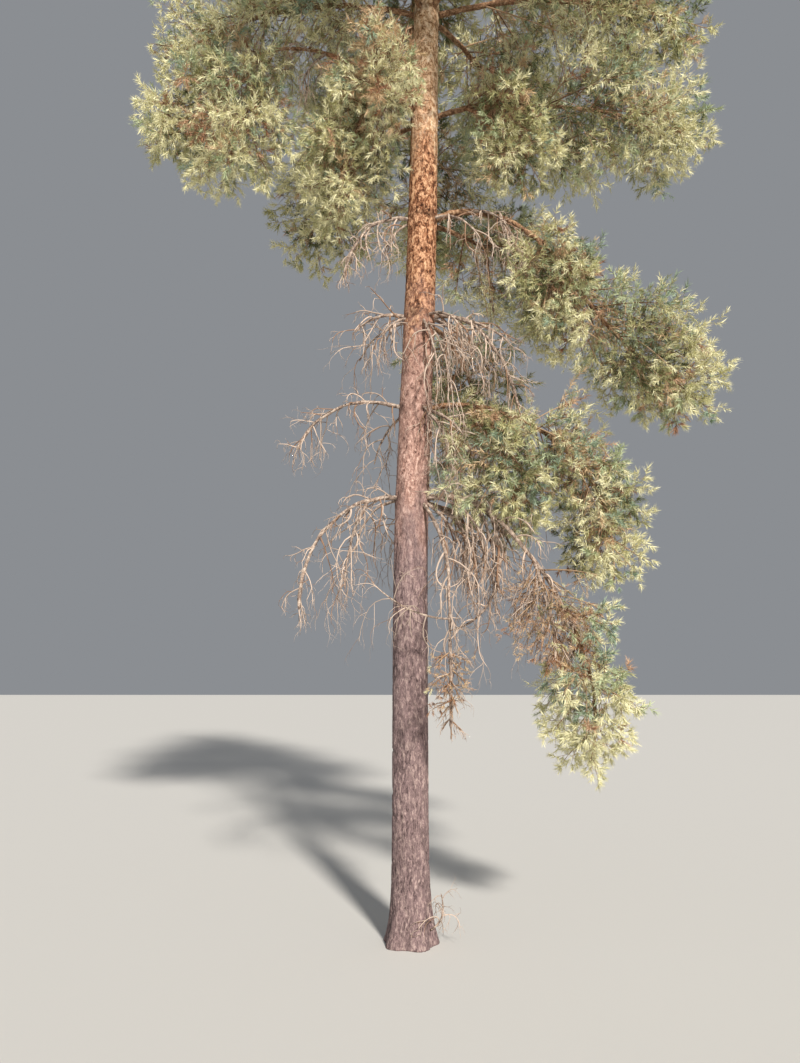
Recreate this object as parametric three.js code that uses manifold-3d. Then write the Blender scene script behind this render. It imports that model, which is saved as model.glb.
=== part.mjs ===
// A slender pine tree with a clear trunk, dead lower boughs and a drooping crown.
// Millimetres, +Z up. The origin is the middle of the flat cut at ground level.
import * as THREE from "three";
import { mergeVertices } from "three/addons/utils/BufferGeometryUtils.js";
import Module from "manifold-3d";

// Driving dimensions: the trunk
const TREE_HEIGHT = 11250;
const TRUNK_HEIGHT = 9950;
const TRUNK_DIAMETER = 218;
const TAPER_BEND = 2.6;
const TAPER_POWER = 0.9;
const FLARE = 50;
const FLARE_HEIGHT = 160;
const FLARE_LOBES = 5;
const FLARE_LOBE_DEPTH = 0.3;
const KNOT_SWELL = 4;
const KNOT_SPREAD = 70;
const LEAN_START = 2300;
const LEAN_SLOPE = 0.033;
const LEAN_EASE = 500;
const SWEEP = 16;
const SWEEP_LENGTH = 4100;
const TRUNK_SIDES = 14;
const TRUNK_RINGS = 30;
const RING_CROWDING = 1.3;

// Driving dimensions: the whorls of boughs up the trunk, lowest first
const WHORLS = [2665, 3270, 3910, 4630, 5420, 6260, 7020, 7700, 8340, 8920, 9450];

// Driving dimensions: limbs, twigs and sprays of needles
const SEAT_GAP = 0.3;
const SEAT_DEPTH = 0.5;
const BOUGH_SIDES = 6;
const BOUGH_STEP = 130;
const STEM_SIDES = 4;
const STEM_STEPS = 4;
const TWIG_SIDES = 3;
const TWIG_STEPS = 2;
const STEM_TIP_RADIUS = 10;
const STEM_SLENDERNESS = 160;
const LEADER_SHARE = 0.9;
const TWIG_RADIUS = 6;
const TWIG_SHARE = 0.42;
const TWIG_TAPER = 0.7;
const SHORTEST_TWIG = 60;
const TWIG_SPREAD = 58;
const TWIG_CLOSING = 14;
const TWIG_SCATTER = 12;
const ROLL_SCATTER = 30;
const TWIG_SAG = 30;
const DEAD_TWIG_SAG = 48;
const TWIG_REACH = 0.97;
const BARE_START = 40;
const TWIG_PLACE = 0.35;
const PLACE_SCATTER = 0.3;
const LAST_PLACE = 0.2;
const LEAST_SAG = 0.4;
const TIP_TWIG_SHARE = 0.97;
const SPACE_BEYOND = 0.6;
const SPRAY_WIDTH = 0.25;
const SPRAY_RIDGE = 0.16;
const SPRAY_ROLL = 150;
const TOOTH_LEAN = 0.5;
const TRIED_SIZES = [1, 0.8, 0.62];
const CLEARANCE = 6;
const SPACE_MARGIN = 0.05;
const GOLDEN_TURN = 137.5;
const TINY = 1e-6;
const MERGE_DISTANCE = 1e-4;
const RANDOM_FACTOR = 48271;
const RANDOM_LIMIT = 2147483647;
const SEED = 41;
const SEED_STEP = 101;

// Colours, roughness and metalness
const BARK = { color: 0x9a6647, roughness: 0.92, metalness: 0 };
const DEAD_WOOD = { color: 0xa8917a, roughness: 0.9, metalness: 0 };
const LIVE_BARK = { color: 0xa97650, roughness: 0.9, metalness: 0 };
const NEEDLES = { color: 0x8f9a5e, roughness: 0.75, metalness: 0 };
const DRY_NEEDLES = { color: 0xa5784e, roughness: 0.85, metalness: 0 };

// A spray's rings from its twig to its tip: where each is along it, and how wide the blade is there
const SPRAY_RINGS = [
  { share: 0, width: 0 },
  { share: 0.26, width: 0 },
  { share: 0.46, width: 1 },
  { share: 0.62, width: 0.45 },
  { share: 0.8, width: 0.72 },
  { share: 1, width: 0 },
];

// Boughs. "on" names what carries the bough: a whorl of the trunk by its number, or another bough.
// along: where on the other bough it leaves, as a share of its length. It is left out at the tip.
// turn: degrees anticlockwise from the right, seen from above. rise: degrees above level at the base.
// sag: degrees that the bough has dropped by its tip. swing: degrees that it has turned by its tip.
const BOUGHS = [
  {
    name: "bough_1_left", on: 1, turn: 196, rise: 8, sag: 44, swing: 10,
    reach: 400, base: 17, tip: 9, wood: DEAD_WOOD,
  },
  {
    name: "bough_1_right", on: 1, turn: 352, rise: 16, sag: 62, swing: -6,
    reach: 520, base: 22, tip: 16, wood: DEAD_WOOD,
  },
  {
    name: "bough_1_right_outer", on: "bough_1_right", sag: 22, swing: 4,
    reach: 860, base: 15, tip: 9, wood: DEAD_WOOD,
  },
  {
    name: "bough_1_right_hook", on: "bough_1_right", along: 0.9, turn: 335, rise: -66, sag: 34, swing: 0,
    reach: 430, base: 12, tip: 9, wood: DEAD_WOOD,
  },
  {
    name: "bough_1_right_hook_end", on: "bough_1_right_hook", sag: 72, swing: 0,
    reach: 500, base: 9, tip: 5, wood: DEAD_WOOD,
  },
  {
    name: "bough_1_front", on: 1, turn: 312, rise: -40, sag: 52, swing: -50,
    reach: 1040, base: 13, tip: 7, wood: DEAD_WOOD,
  },
  {
    name: "bough_2_left", on: 2, turn: 188, rise: 24, sag: 44, swing: -8,
    reach: 440, base: 15, tip: 8, wood: DEAD_WOOD,
  },
  {
    name: "bough_2_right", on: 2, turn: 10, rise: 24, sag: 46, swing: -14,
    reach: 520, base: 18, tip: 13, wood: LIVE_BARK,
  },
  {
    name: "bough_2_right_outer", on: "bough_2_right", sag: 24, swing: -8,
    reach: 500, base: 13, tip: 10, wood: LIVE_BARK,
  },
  {
    name: "bough_3_left", on: 3, turn: 184, rise: 26, sag: 84, swing: 0,
    reach: 430, base: 14, tip: 5, wood: DEAD_WOOD,
  },
  {
    name: "bough_3_right", on: 3, turn: 345, rise: 12, sag: 64, swing: 8,
    reach: 420, base: 18, tip: 10, wood: DEAD_WOOD,
  },
  {
    name: "bough_4_left", on: 4, turn: 186, rise: 18, sag: 72, swing: 0,
    reach: 400, base: 14, tip: 7, wood: DEAD_WOOD,
  },
  {
    name: "bough_4_right", on: 4, turn: 4, rise: 32, sag: 62, swing: -4,
    reach: 600, base: 24, tip: 18, wood: LIVE_BARK,
  },
  {
    name: "bough_4_right_outer", on: "bough_4_right", sag: 32, swing: -4,
    reach: 540, base: 18, tip: 13, wood: LIVE_BARK,
  },
  {
    name: "bough_5_left", on: 5, turn: 190, rise: 56, sag: 52, swing: -8,
    reach: 1020, base: 20, tip: 12, wood: LIVE_BARK,
  },
  {
    name: "bough_5_left_outer", on: "bough_5_left", sag: 62, swing: -8,
    reach: 560, base: 12, tip: 8, wood: LIVE_BARK,
  },
  {
    name: "bough_5_right", on: 5, turn: 358, rise: 26, sag: 24, swing: 6,
    reach: 580, base: 20, tip: 13, wood: LIVE_BARK,
  },
];

// Masses of needles or of bare dead twigs. "on", "turn", "rise", "sag" and "swing" are as for boughs.
// along: where on its bough the stem leaves, as a share of the bough's length. It is left out at the tip.
// bare: the share of the stem with no twigs. dead: bare dead twigs. dry: dead needles that still hang on.
// wide and deep: half the size of the mass's space across its stem, level and upright.
const MASSES = [
  {
    name: "dead_twigs_1_left", on: "bough_1_left", sag: 56, swing: 10,
    reach: 740, bare: 0, wide: 280, deep: 260, twigs: 8, dead: true,
  },
  {
    name: "dead_twigs_1_front", on: "bough_1_front", sag: -4, swing: 0,
    reach: 500, bare: 0, wide: 150, deep: 150, twigs: 6, dry: true,
  },
  {
    name: "dead_twigs_2_left", on: "bough_2_left", sag: 50, swing: -8,
    reach: 430, bare: 0, wide: 240, deep: 230, twigs: 8, dead: true,
  },
  {
    name: "dead_twigs_3_right", on: "bough_3_right", sag: 30, swing: 10,
    reach: 560, bare: 0, wide: 320, deep: 300, twigs: 9, dead: true,
  },
  {
    name: "dead_twigs_4_left", on: "bough_4_left", sag: 30, swing: 0,
    reach: 360, bare: 0, wide: 150, deep: 150, twigs: 7, dead: true,
  },
  {
    name: "needles_1_right_inner", on: "bough_1_right_outer", along: 0.4,
    turn: 320, rise: -66, sag: 18, swing: 0,
    reach: 580, bare: 0.1, wide: 310, deep: 300, twigs: 7, dry: true,
  },
  {
    name: "needles_1_right_outer", on: "bough_1_right_outer", sag: 28, swing: 10,
    reach: 660, bare: 0, wide: 360, deep: 340, twigs: 7,
  },
  {
    name: "needles_2_right_inner", on: "bough_2_right", along: 0.6,
    turn: 335, rise: -56, sag: 22, swing: 0,
    reach: 800, bare: 0, wide: 460, deep: 430, twigs: 7,
  },
  {
    name: "needles_2_right_outer", on: "bough_2_right_outer", sag: 42, swing: 8,
    reach: 740, bare: 0, wide: 460, deep: 370, twigs: 7,
  },
  {
    name: "needles_4_right_low", on: "bough_4_right_outer", along: 0.4,
    turn: 338, rise: -66, sag: 4, swing: 0,
    reach: 780, bare: 0, wide: 420, deep: 400, twigs: 7,
  },
  {
    name: "needles_4_right_tip", on: "bough_4_right_outer", sag: -24, swing: 0,
    reach: 1120, bare: 0.12, wide: 540, deep: 420, twigs: 8,
  },
  {
    name: "needles_4_right_back", on: 4, turn: 42, rise: 14, sag: 56, swing: -20,
    reach: 1150, bare: 0.25, wide: 480, deep: 460, twigs: 7,
  },
  {
    name: "needles_3_back", on: 3, turn: 62, rise: 14, sag: 52, swing: 10,
    reach: 1300, bare: 0.35, wide: 500, deep: 440, twigs: 7,
  },
  {
    name: "needles_5_back_left", on: 5, turn: 134, rise: 12, sag: 44, swing: -10,
    reach: 1500, bare: 0.3, wide: 500, deep: 440, twigs: 7,
  },
  {
    name: "needles_5_back", on: 5, turn: 84, rise: 22, sag: 44, swing: 0,
    reach: 1650, bare: 0.3, wide: 580, deep: 460, twigs: 7,
  },
  {
    name: "needles_5_right_inner", on: "bough_5_right", along: 0.45,
    turn: 340, rise: -34, sag: 30, swing: 10,
    reach: 660, bare: 0, wide: 420, deep: 400, twigs: 7,
  },
  {
    name: "needles_5_right_outer", on: "bough_5_right", sag: 18, swing: 0,
    reach: 1200, bare: 0.05, wide: 540, deep: 520, twigs: 8,
  },
  {
    name: "needles_5_left_inner", on: "bough_5_left", along: 0.38,
    turn: 172, rise: -62, sag: 22, swing: 0,
    reach: 980, bare: 0.05, wide: 420, deep: 420, twigs: 7,
  },
  {
    name: "needles_5_left_low", on: "bough_5_left_outer", along: 0.3,
    turn: 196, rise: -70, sag: 6, swing: 0,
    reach: 980, bare: 0.15, wide: 440, deep: 440, twigs: 7,
  },
  {
    name: "needles_5_left_tip", on: "bough_5_left_outer", sag: -20, swing: 0,
    reach: 520, bare: 0.05, wide: 440, deep: 430, twigs: 7,
  },
  {
    name: "needles_6_right", on: 6, turn: 2, rise: 20, sag: 38, swing: 0,
    reach: 1850, bare: 0.2, wide: 560, deep: 460, twigs: 8,
  },
  {
    name: "needles_6_left", on: 6, turn: 174, rise: 24, sag: 56, swing: 0,
    reach: 1850, bare: 0.18, wide: 560, deep: 460, twigs: 8,
  },
  {
    name: "needles_6_back_right", on: 6, turn: 58, rise: 24, sag: 40, swing: 0,
    reach: 1750, bare: 0.3, wide: 560, deep: 460, twigs: 7,
  },
  {
    name: "needles_6_back_left", on: 6, turn: 118, rise: 22, sag: 40, swing: 0,
    reach: 1750, bare: 0.3, wide: 560, deep: 460, twigs: 7,
  },
  {
    name: "needles_6_front_left", on: 6, turn: 236, rise: 30, sag: 44, swing: 0,
    reach: 1750, bare: 0.3, wide: 580, deep: 440, twigs: 7,
  },
  {
    name: "needles_6_front_right", on: 6, turn: 306, rise: 30, sag: 44, swing: 0,
    reach: 1750, bare: 0.3, wide: 580, deep: 440, twigs: 7,
  },
  {
    name: "needles_7_right", on: 7, turn: 28, rise: 24, sag: 36, swing: 0,
    reach: 1680, bare: 0.22, wide: 600, deep: 440, twigs: 7,
  },
  {
    name: "needles_7_back", on: 7, turn: 96, rise: 24, sag: 36, swing: 0,
    reach: 1680, bare: 0.22, wide: 600, deep: 440, twigs: 7,
  },
  {
    name: "needles_7_left", on: 7, turn: 168, rise: 26, sag: 36, swing: 0,
    reach: 1680, bare: 0.22, wide: 600, deep: 440, twigs: 7,
  },
  {
    name: "needles_7_front", on: 7, turn: 272, rise: 26, sag: 36, swing: 0,
    reach: 1650, bare: 0.22, wide: 680, deep: 440, twigs: 7,
  },
  {
    name: "needles_8_right", on: 8, turn: 340, rise: 30, sag: 34, swing: 0,
    reach: 1460, bare: 0.18, wide: 620, deep: 420, twigs: 7,
  },
  {
    name: "needles_8_back", on: 8, turn: 66, rise: 30, sag: 34, swing: 0,
    reach: 1440, bare: 0.18, wide: 620, deep: 420, twigs: 7,
  },
  {
    name: "needles_8_left", on: 8, turn: 206, rise: 30, sag: 34, swing: 0,
    reach: 1460, bare: 0.18, wide: 620, deep: 420, twigs: 7,
  },
  {
    name: "needles_9_right", on: 9, turn: 20, rise: 34, sag: 32, swing: 0,
    reach: 1250, bare: 0.15, wide: 560, deep: 400, twigs: 7,
  },
  {
    name: "needles_9_left", on: 9, turn: 140, rise: 34, sag: 32, swing: 0,
    reach: 1250, bare: 0.15, wide: 560, deep: 400, twigs: 7,
  },
  {
    name: "needles_9_front", on: 9, turn: 264, rise: 34, sag: 32, swing: 0,
    reach: 1250, bare: 0.15, wide: 560, deep: 400, twigs: 7,
  },
  {
    name: "needles_10_right", on: 10, turn: 322, rise: 38, sag: 28, swing: 0,
    reach: 1000, bare: 0.12, wide: 480, deep: 360, twigs: 7,
  },
  {
    name: "needles_10_back", on: 10, turn: 78, rise: 38, sag: 28, swing: 0,
    reach: 1000, bare: 0.12, wide: 480, deep: 360, twigs: 7,
  },
  {
    name: "needles_10_left", on: 10, turn: 202, rise: 38, sag: 28, swing: 0,
    reach: 1000, bare: 0.12, wide: 480, deep: 360, twigs: 7,
  },
  {
    name: "needles_11_right", on: 11, turn: 12, rise: 42, sag: 26, swing: 0,
    reach: 780, bare: 0.1, wide: 420, deep: 320, twigs: 7,
  },
  {
    name: "needles_11_left", on: 11, turn: 192, rise: 42, sag: 26, swing: 0,
    reach: 780, bare: 0.1, wide: 420, deep: 320, twigs: 7,
  },
  {
    name: "needles_top", on: 0, rise: 90, sag: 4, swing: 0,
    reach: 1100, bare: 0.03, wide: 420, deep: 420, twigs: 12,
  },
];

const wasm = await Module();
wasm.setup();

const group = new THREE.Group();
const degrees = THREE.MathUtils.degToRad;

// A seeded generator of numbers from 0 to 1, the same on every run
function seededRandom(seed) {
  let state = seed;
  return () => {
    state = (state * RANDOM_FACTOR) % RANDOM_LIMIT;
    return state / RANDOM_LIMIT;
  };
}

// A closed geometry as a solid that can be joined and cut
function solidOf(geometry) {
  const bare = geometry.clone();
  bare.deleteAttribute("normal");
  bare.deleteAttribute("uv");
  const merged = mergeVertices(bare, MERGE_DISTANCE);
  return new wasm.Manifold(new wasm.Mesh({
    numProp: 3,
    vertProperties: new Float32Array(merged.attributes.position.array),
    triVerts: new Uint32Array(merged.index.array),
  }));
}

// The largest closed body of a solid, without loose scraps and sealed hollows
function largestBody(solid) {
  const bodies = solid.decompose();
  return bodies.reduce((best, body) => (body.volume() > best.volume() ? body : best));
}

// A solid as a named mesh in the tree
function addMesh(name, solid, finish) {
  const { vertProperties, triVerts } = largestBody(solid).getMesh();
  const geometry = new THREE.BufferGeometry();
  geometry.setAttribute("position", new THREE.BufferAttribute(new Float32Array(vertProperties), 3));
  geometry.setIndex(new THREE.BufferAttribute(new Uint32Array(triVerts), 1));
  geometry.computeVertexNormals();
  const mesh = new THREE.Mesh(geometry, new THREE.MeshStandardMaterial(finish));
  mesh.name = name;
  group.add(mesh);
}

// The middle of the trunk at a height: straight at the foot, then leaning right with a slight sweep
function trunkMiddle(height) {
  const above = height - LEAN_START;
  const eased = (above + Math.hypot(above, LEAN_EASE)) / 2;
  const foot = (Math.hypot(LEAN_START, LEAN_EASE) - LEAN_START) / 2;
  const bow = above > 0 && above < SWEEP_LENGTH ? Math.sin((Math.PI * above) / SWEEP_LENGTH) ** 2 : 0;
  return new THREE.Vector3(LEAN_SLOPE * (eased - foot) + SWEEP * bow, 0, height);
}

// The trunk's radius at a height, before the root flare
function stemRadius(height) {
  const swell = WHORLS.reduce((sum, whorl) => sum + Math.exp(-(((height - whorl) / KNOT_SPREAD) ** 2)), 0);
  const taper = (1 - (height / TREE_HEIGHT) ** TAPER_BEND) ** TAPER_POWER;
  return (TRUNK_DIAMETER / 2) * taper + KNOT_SWELL * swell * taper;
}

// The trunk's radius at a height and an angle, with the lobed root flare
function trunkRadius(height, angle) {
  const lobe = 1 + FLARE_LOBE_DEPTH * Math.sin(FLARE_LOBES * angle + 1);
  return stemRadius(height) + FLARE * lobe * Math.exp(-height / FLARE_HEIGHT);
}

// The trunk: an upright cylinder whose level rings follow the lean, the taper and the flare
function trunkSolid(extra) {
  const blank = new THREE.CylinderGeometry(1, 1, 1, TRUNK_SIDES, TRUNK_RINGS);
  const position = blank.attributes.position;
  for (let i = 0; i < position.count; i += 1) {
    const height = TRUNK_HEIGHT * (position.getY(i) + 0.5) ** RING_CROWDING;
    const middle = trunkMiddle(height);
    const angle = Math.atan2(-position.getZ(i), position.getX(i));
    const out = Math.hypot(position.getX(i), position.getZ(i));
    const radius = out * (trunkRadius(height, angle) + extra);
    position.setXYZ(i, middle.x + radius * Math.cos(angle), middle.y + radius * Math.sin(angle), height);
  }
  return solidOf(blank);
}

// A direction from a turn about the upright axis and a rise above level, in degrees
function heading(turn, rise) {
  const level = Math.cos(degrees(rise));
  const across = [Math.cos(degrees(turn)), Math.sin(degrees(turn))];
  return new THREE.Vector3(level * across[0], level * across[1], Math.sin(degrees(rise)));
}

// A path that starts one way and drops and swings evenly along its length
function sweptPath({ start, turn, rise, sag = 0, swing = 0, reach, steps, base, tip }) {
  const points = [start.clone()];
  for (let i = 1; i <= steps; i += 1) {
    const share = (i - 0.5) / steps;
    const way = heading(turn + swing * share, rise - sag * share);
    points.push(points[i - 1].clone().addScaledVector(way, reach / steps));
  }
  const radii = points.map((_, i) => base + ((tip - base) * i) / steps);
  return { points, radii, turn, rise, sag, swing, reach };
}

// The direction of a swept path at a share of its length
function headingAt(path, share) {
  return heading(path.turn + path.swing * share, path.rise - path.sag * share);
}

// The point, the radius and the direction at a share of a path's length
function pathAt(path, share) {
  const place = Math.min(share * (path.points.length - 1), path.points.length - 1 - TINY);
  const i = Math.floor(place);
  const along = place - i;
  return {
    point: path.points[i].clone().lerp(path.points[i + 1], along),
    radius: path.radii[i] + (path.radii[i + 1] - path.radii[i]) * along,
    way: headingAt(path, place / (path.points.length - 1)),
  };
}

// A closed tapering tube along a path: a cylinder or cone bent ring by ring
function tubeSolid(path, sides, pointed, extra = 0) {
  const steps = path.points.length - 1;
  const blank = pointed
    ? new THREE.ConeGeometry(1, 1, sides, steps)
    : new THREE.CylinderGeometry(1, 1, 1, sides, steps);
  const position = blank.attributes.position;
  for (let i = 0; i < position.count; i += 1) {
    const ring = Math.round((position.getY(i) + 0.5) * steps);
    const way = headingAt(path, ring / steps);
    const across = heading(path.turn + (path.swing * ring) / steps + 90, 0);
    const third = across.clone().cross(way);
    const out = Math.hypot(position.getX(i), position.getZ(i));
    const radius = out > TINY ? (path.radii[ring] + extra) / out : 0;
    const place = path.points[ring].clone();
    place.addScaledVector(across, position.getX(i) * radius);
    place.addScaledVector(third, position.getZ(i) * radius);
    position.setXYZ(i, place.x, place.y, place.z);
  }
  return solidOf(blank);
}

// Where a limb starts, and what its base is cut by: nothing on a flat tip, else what carries it
function seatOf(limb, paths, trunkCutter) {
  if (limb.on === 0) {
    const start = trunkMiddle(TRUNK_HEIGHT + SEAT_GAP);
    return { start, turn: 0, rise: limb.rise, cutter: null };
  }
  if (typeof limb.on === "number") {
    const height = WHORLS[limb.on - 1];
    const depth = stemRadius(height) * SEAT_DEPTH;
    const start = trunkMiddle(height).addScaledVector(heading(limb.turn, 0), depth);
    return { start, turn: limb.turn, rise: limb.rise, cutter: trunkCutter };
  }
  const carrier = paths.get(limb.on);
  if (limb.along === undefined) {
    const end = pathAt(carrier, 1);
    const start = end.point.addScaledVector(end.way, SEAT_GAP);
    return { start, turn: carrier.turn + carrier.swing, rise: carrier.rise - carrier.sag, cutter: null };
  }
  const start = pathAt(carrier, limb.along).point;
  const cutter = tubeSolid(carrier, BOUGH_SIDES, false, SEAT_GAP);
  return { start, turn: limb.turn, rise: limb.rise, cutter };
}

// A bough's path, with a ring for each stretch of its length
function boughPath(bough, seat) {
  const steps = Math.max(3, Math.round(bough.reach / BOUGH_STEP));
  return sweptPath({ ...bough, start: seat.start, turn: seat.turn, rise: seat.rise, steps });
}

// A mass's stem: a tapering limb from its seat to the far end of its space
function stemPath(mass, seat, paths) {
  const onBough = typeof mass.on === "string";
  const base = onBough ? Math.max(paths.get(mass.on).radii.at(-1), STEM_TIP_RADIUS) : trunkStemRadius(mass);
  const { start, turn, rise } = seat;
  return sweptPath({ ...mass, start, turn, rise, steps: STEM_STEPS, base, tip: STEM_TIP_RADIUS });
}

// How thick a stem is where it leaves the trunk
function trunkStemRadius(mass) {
  const leader = stemRadius(TRUNK_HEIGHT) * LEADER_SHARE;
  return mass.on === 0 ? leader : STEM_TIP_RADIUS + mass.reach / STEM_SLENDERNESS;
}

// The space of a mass: an egg round the leafy stretch of its stem, level side to side
function spaceOf(mass, stem) {
  const from = pathAt(stem, mass.bare).point;
  const to = pathAt(stem, 1).point;
  const long = to.clone().sub(from);
  const half = long.length() / 2 + mass.deep * SPACE_BEYOND;
  long.normalize();
  const level = heading(stem.turn + stem.swing + 90, 0);
  level.addScaledVector(long, -level.dot(long)).normalize();
  const upright = long.clone().cross(level);
  const middle = from.clone().lerp(to, 0.5);
  return { middle, axes: [long, level, upright], halves: [half, mass.wide, mass.deep] };
}

// How far out a point lies in a space: 0 at its middle, 1 on its skin
function depthIn(space, point) {
  const away = point.clone().sub(space.middle);
  return Math.hypot(...space.axes.map((axis, i) => away.dot(axis) / space.halves[i]));
}

// The distance from a point in a space to its skin, along a direction
function roomIn(space, point, way) {
  const away = point.clone().sub(space.middle);
  const p = space.axes.map((axis, i) => away.dot(axis) / space.halves[i]);
  const d = space.axes.map((axis, i) => way.dot(axis) / space.halves[i]);
  const a = d[0] ** 2 + d[1] ** 2 + d[2] ** 2;
  const b = p[0] * d[0] + p[1] * d[1] + p[2] * d[2];
  const c = p[0] ** 2 + p[1] ** 2 + p[2] ** 2 - 1;
  const inside = b * b - a * c;
  return inside > 0 ? Math.max((-b + Math.sqrt(inside)) / a, 0) : 0;
}

// True where every point is in the mass's own space and off its neighbours' spaces
function inOwnSpace(points, own, masses) {
  return points.every((point) => {
    const depth = depthIn(own.space, point);
    const others = masses.filter((other) => other !== own);
    const crowded = others.some((other) => depthIn(other.space, point) < depth + SPACE_MARGIN);
    return depth <= 1 && !crowded;
  });
}

// A solid with its box and the mass that owns it, as something that other masses stay clear of
function obstacle(solid, owner) {
  return { solid, owner, box: solid.boundingBox() };
}

// True where a piece of a mass stays clear of every limb and of the masses made before it
function clearOf(piece, own, obstacles) {
  const box = piece.boundingBox();
  return obstacles.every((other) => {
    const apart = [0, 1, 2].some(
      (k) => box.min[k] > other.box.max[k] + CLEARANCE || box.max[k] < other.box.min[k] - CLEARANCE,
    );
    return other.owner === own || apart || piece.minGap(other.solid, CLEARANCE) >= CLEARANCE;
  });
}

// A twig that carries a spray of needles: three-sided, round at its foot, then a blade with leaning teeth
// on its two edges and a ridge between them
function sprayTwig(plan, roll) {
  const path = sweptPath(plan);
  const blank = new THREE.ConeGeometry(1, 1, TWIG_SIDES, SPRAY_RINGS.length - 1);
  const position = blank.attributes.position;
  const points = [];
  for (let i = 0; i < position.count; i += 1) {
    const ring = Math.round((position.getY(i) + 0.5) * (SPRAY_RINGS.length - 1));
    const { share, width } = SPRAY_RINGS[ring];
    const { point, way, radius } = pathAt(path, share);
    const across = heading(path.turn + 90, 0).applyAxisAngle(way, degrees(roll));
    const third = across.clone().cross(way);
    const out = Math.hypot(position.getX(i), position.getZ(i));
    if (out > TINY) {
      const x = position.getX(i) / out;
      const z = position.getZ(i) / out;
      const edge = width * plan.reach * SPRAY_WIDTH;
      const ridge = Math.max(radius, edge * SPRAY_RIDGE);
      point.addScaledVector(across, x * Math.max(radius, edge));
      point.addScaledVector(third, z * ridge);
      point.addScaledVector(way, Math.abs(x) * edge * TOOTH_LEAN);
    }
    position.setXYZ(i, point.x, point.y, point.z);
    if (ring > 1) {
      points.push(point);
    }
  }
  return { points, solid: solidOf(blank) };
}

// A bare twig: a three-sided cone along its path
function bareTwig(plan) {
  const path = sweptPath(plan);
  return { points: path.points.slice(1), solid: tubeSolid(path, TWIG_SIDES, true) };
}

// A twig of a mass: it leaves the stem on its own side and reaches the skin of the mass's space
function twigPlan(mass, own, i, random) {
  const bare = Math.max(mass.bare, BARE_START / mass.reach);
  const place = (i + TWIG_PLACE + PLACE_SCATTER * random()) / (mass.twigs + LAST_PLACE);
  const share = bare + (1 - bare) * place;
  const { point, way, radius } = pathAt(own.stem, share);
  const roll = i * GOLDEN_TURN + ROLL_SCATTER * random();
  const out = new THREE.Vector3(0, 0, 1).cross(way).normalize().applyAxisAngle(way, degrees(roll));
  const spread = degrees(TWIG_SPREAD - TWIG_CLOSING * share + TWIG_SCATTER * random());
  const start = way.clone().multiplyScalar(Math.cos(spread)).addScaledVector(out, Math.sin(spread));
  const reach = Math.max(roomIn(own.space, point, start) * TWIG_REACH, SHORTEST_TWIG);
  const turn = THREE.MathUtils.radToDeg(Math.atan2(start.y, start.x));
  const rise = THREE.MathUtils.radToDeg(Math.asin(start.z));
  const sag = mass.dead ? DEAD_TWIG_SAG : TWIG_SAG * (LEAST_SAG + (1 - LEAST_SAG) * random());
  const base = Math.min(TWIG_RADIUS, radius * TWIG_SHARE);
  return { start: point, turn, rise, sag, reach, steps: TWIG_STEPS, base, tip: base * TWIG_TAPER };
}

// The stem's own spray, straight on from its end
function tipPlan(own) {
  const { point, way, radius } = pathAt(own.stem, TIP_TWIG_SHARE);
  const reach = roomIn(own.space, point, way) * TWIG_REACH;
  const turn = THREE.MathUtils.radToDeg(Math.atan2(way.y, way.x));
  const rise = THREE.MathUtils.radToDeg(Math.asin(way.z));
  const base = radius * TWIG_SHARE;
  return { start: point, turn, rise, sag: 0, reach, steps: TWIG_STEPS, base, tip: base };
}

// One mass: its stem, and the twigs that fit, each at the largest size tried
function massSolid(own, masses, obstacles, random) {
  const { mass, stemSolid, seat } = own;
  const pieces = [stemSolid];
  const grow = (plan, roll) => {
    for (const size of TRIED_SIZES) {
      const sized = { ...plan, reach: plan.reach * size };
      const piece = mass.dead ? bareTwig(sized) : sprayTwig(sized, roll);
      if (inOwnSpace(piece.points, own, masses) && clearOf(piece.solid, own, obstacles)) {
        pieces.push(piece.solid);
        return;
      }
    }
  };
  for (let i = 0; i < mass.twigs; i += 1) {
    const plan = twigPlan(mass, own, i, random);
    grow(plan, SPRAY_ROLL * (random() - 0.5));
  }
  grow(tipPlan(own), 0);
  const joined = wasm.Manifold.union(pieces);
  return seat.cutter ? joined.subtract(seat.cutter) : joined;
}

// Every mass with its seat, stem and space
function layOutMasses(paths, trunkCutter) {
  return MASSES.map((mass) => {
    const seat = seatOf(mass, paths, trunkCutter);
    const stem = stemPath(mass, seat, paths);
    return { mass, seat, stem, space: spaceOf(mass, stem), stemSolid: tubeSolid(stem, STEM_SIDES, false) };
  });
}

const trunkCutter = trunkSolid(SEAT_GAP);
const trunk = trunkSolid(0);
const obstacles = [obstacle(trunk, null)];
addMesh("trunk", trunk, BARK);

const paths = new Map();
for (const bough of BOUGHS) {
  const seat = seatOf(bough, paths, trunkCutter);
  const path = boughPath(bough, seat);
  paths.set(bough.name, path);
  const limb = tubeSolid(path, BOUGH_SIDES, false);
  const seated = seat.cutter ? limb.subtract(seat.cutter) : limb;
  obstacles.push(obstacle(seated, null));
  addMesh(bough.name, seated, bough.wood);
}

const masses = layOutMasses(paths, trunkCutter);
masses.forEach((own) => obstacles.push(obstacle(own.stemSolid, own)));
masses.forEach((own, i) => {
  const solid = massSolid(own, masses, obstacles, seededRandom(SEED + i * SEED_STEP));
  obstacles.push(obstacle(solid, own));
  addMesh(own.mass.name, solid, own.mass.dead ? DEAD_WOOD : own.mass.dry ? DRY_NEEDLES : NEEDLES);
});

export default group;
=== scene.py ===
"""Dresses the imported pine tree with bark, dead twigs, live twigs and needles. Metres and degrees, +Z up.

Turns are anticlockwise from the right, seen from above, and rises are above level.
"""

from __future__ import annotations

import logging
import math
from dataclasses import dataclass, field, replace
from enum import Enum
from typing import Callable, Iterable, Sequence

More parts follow.
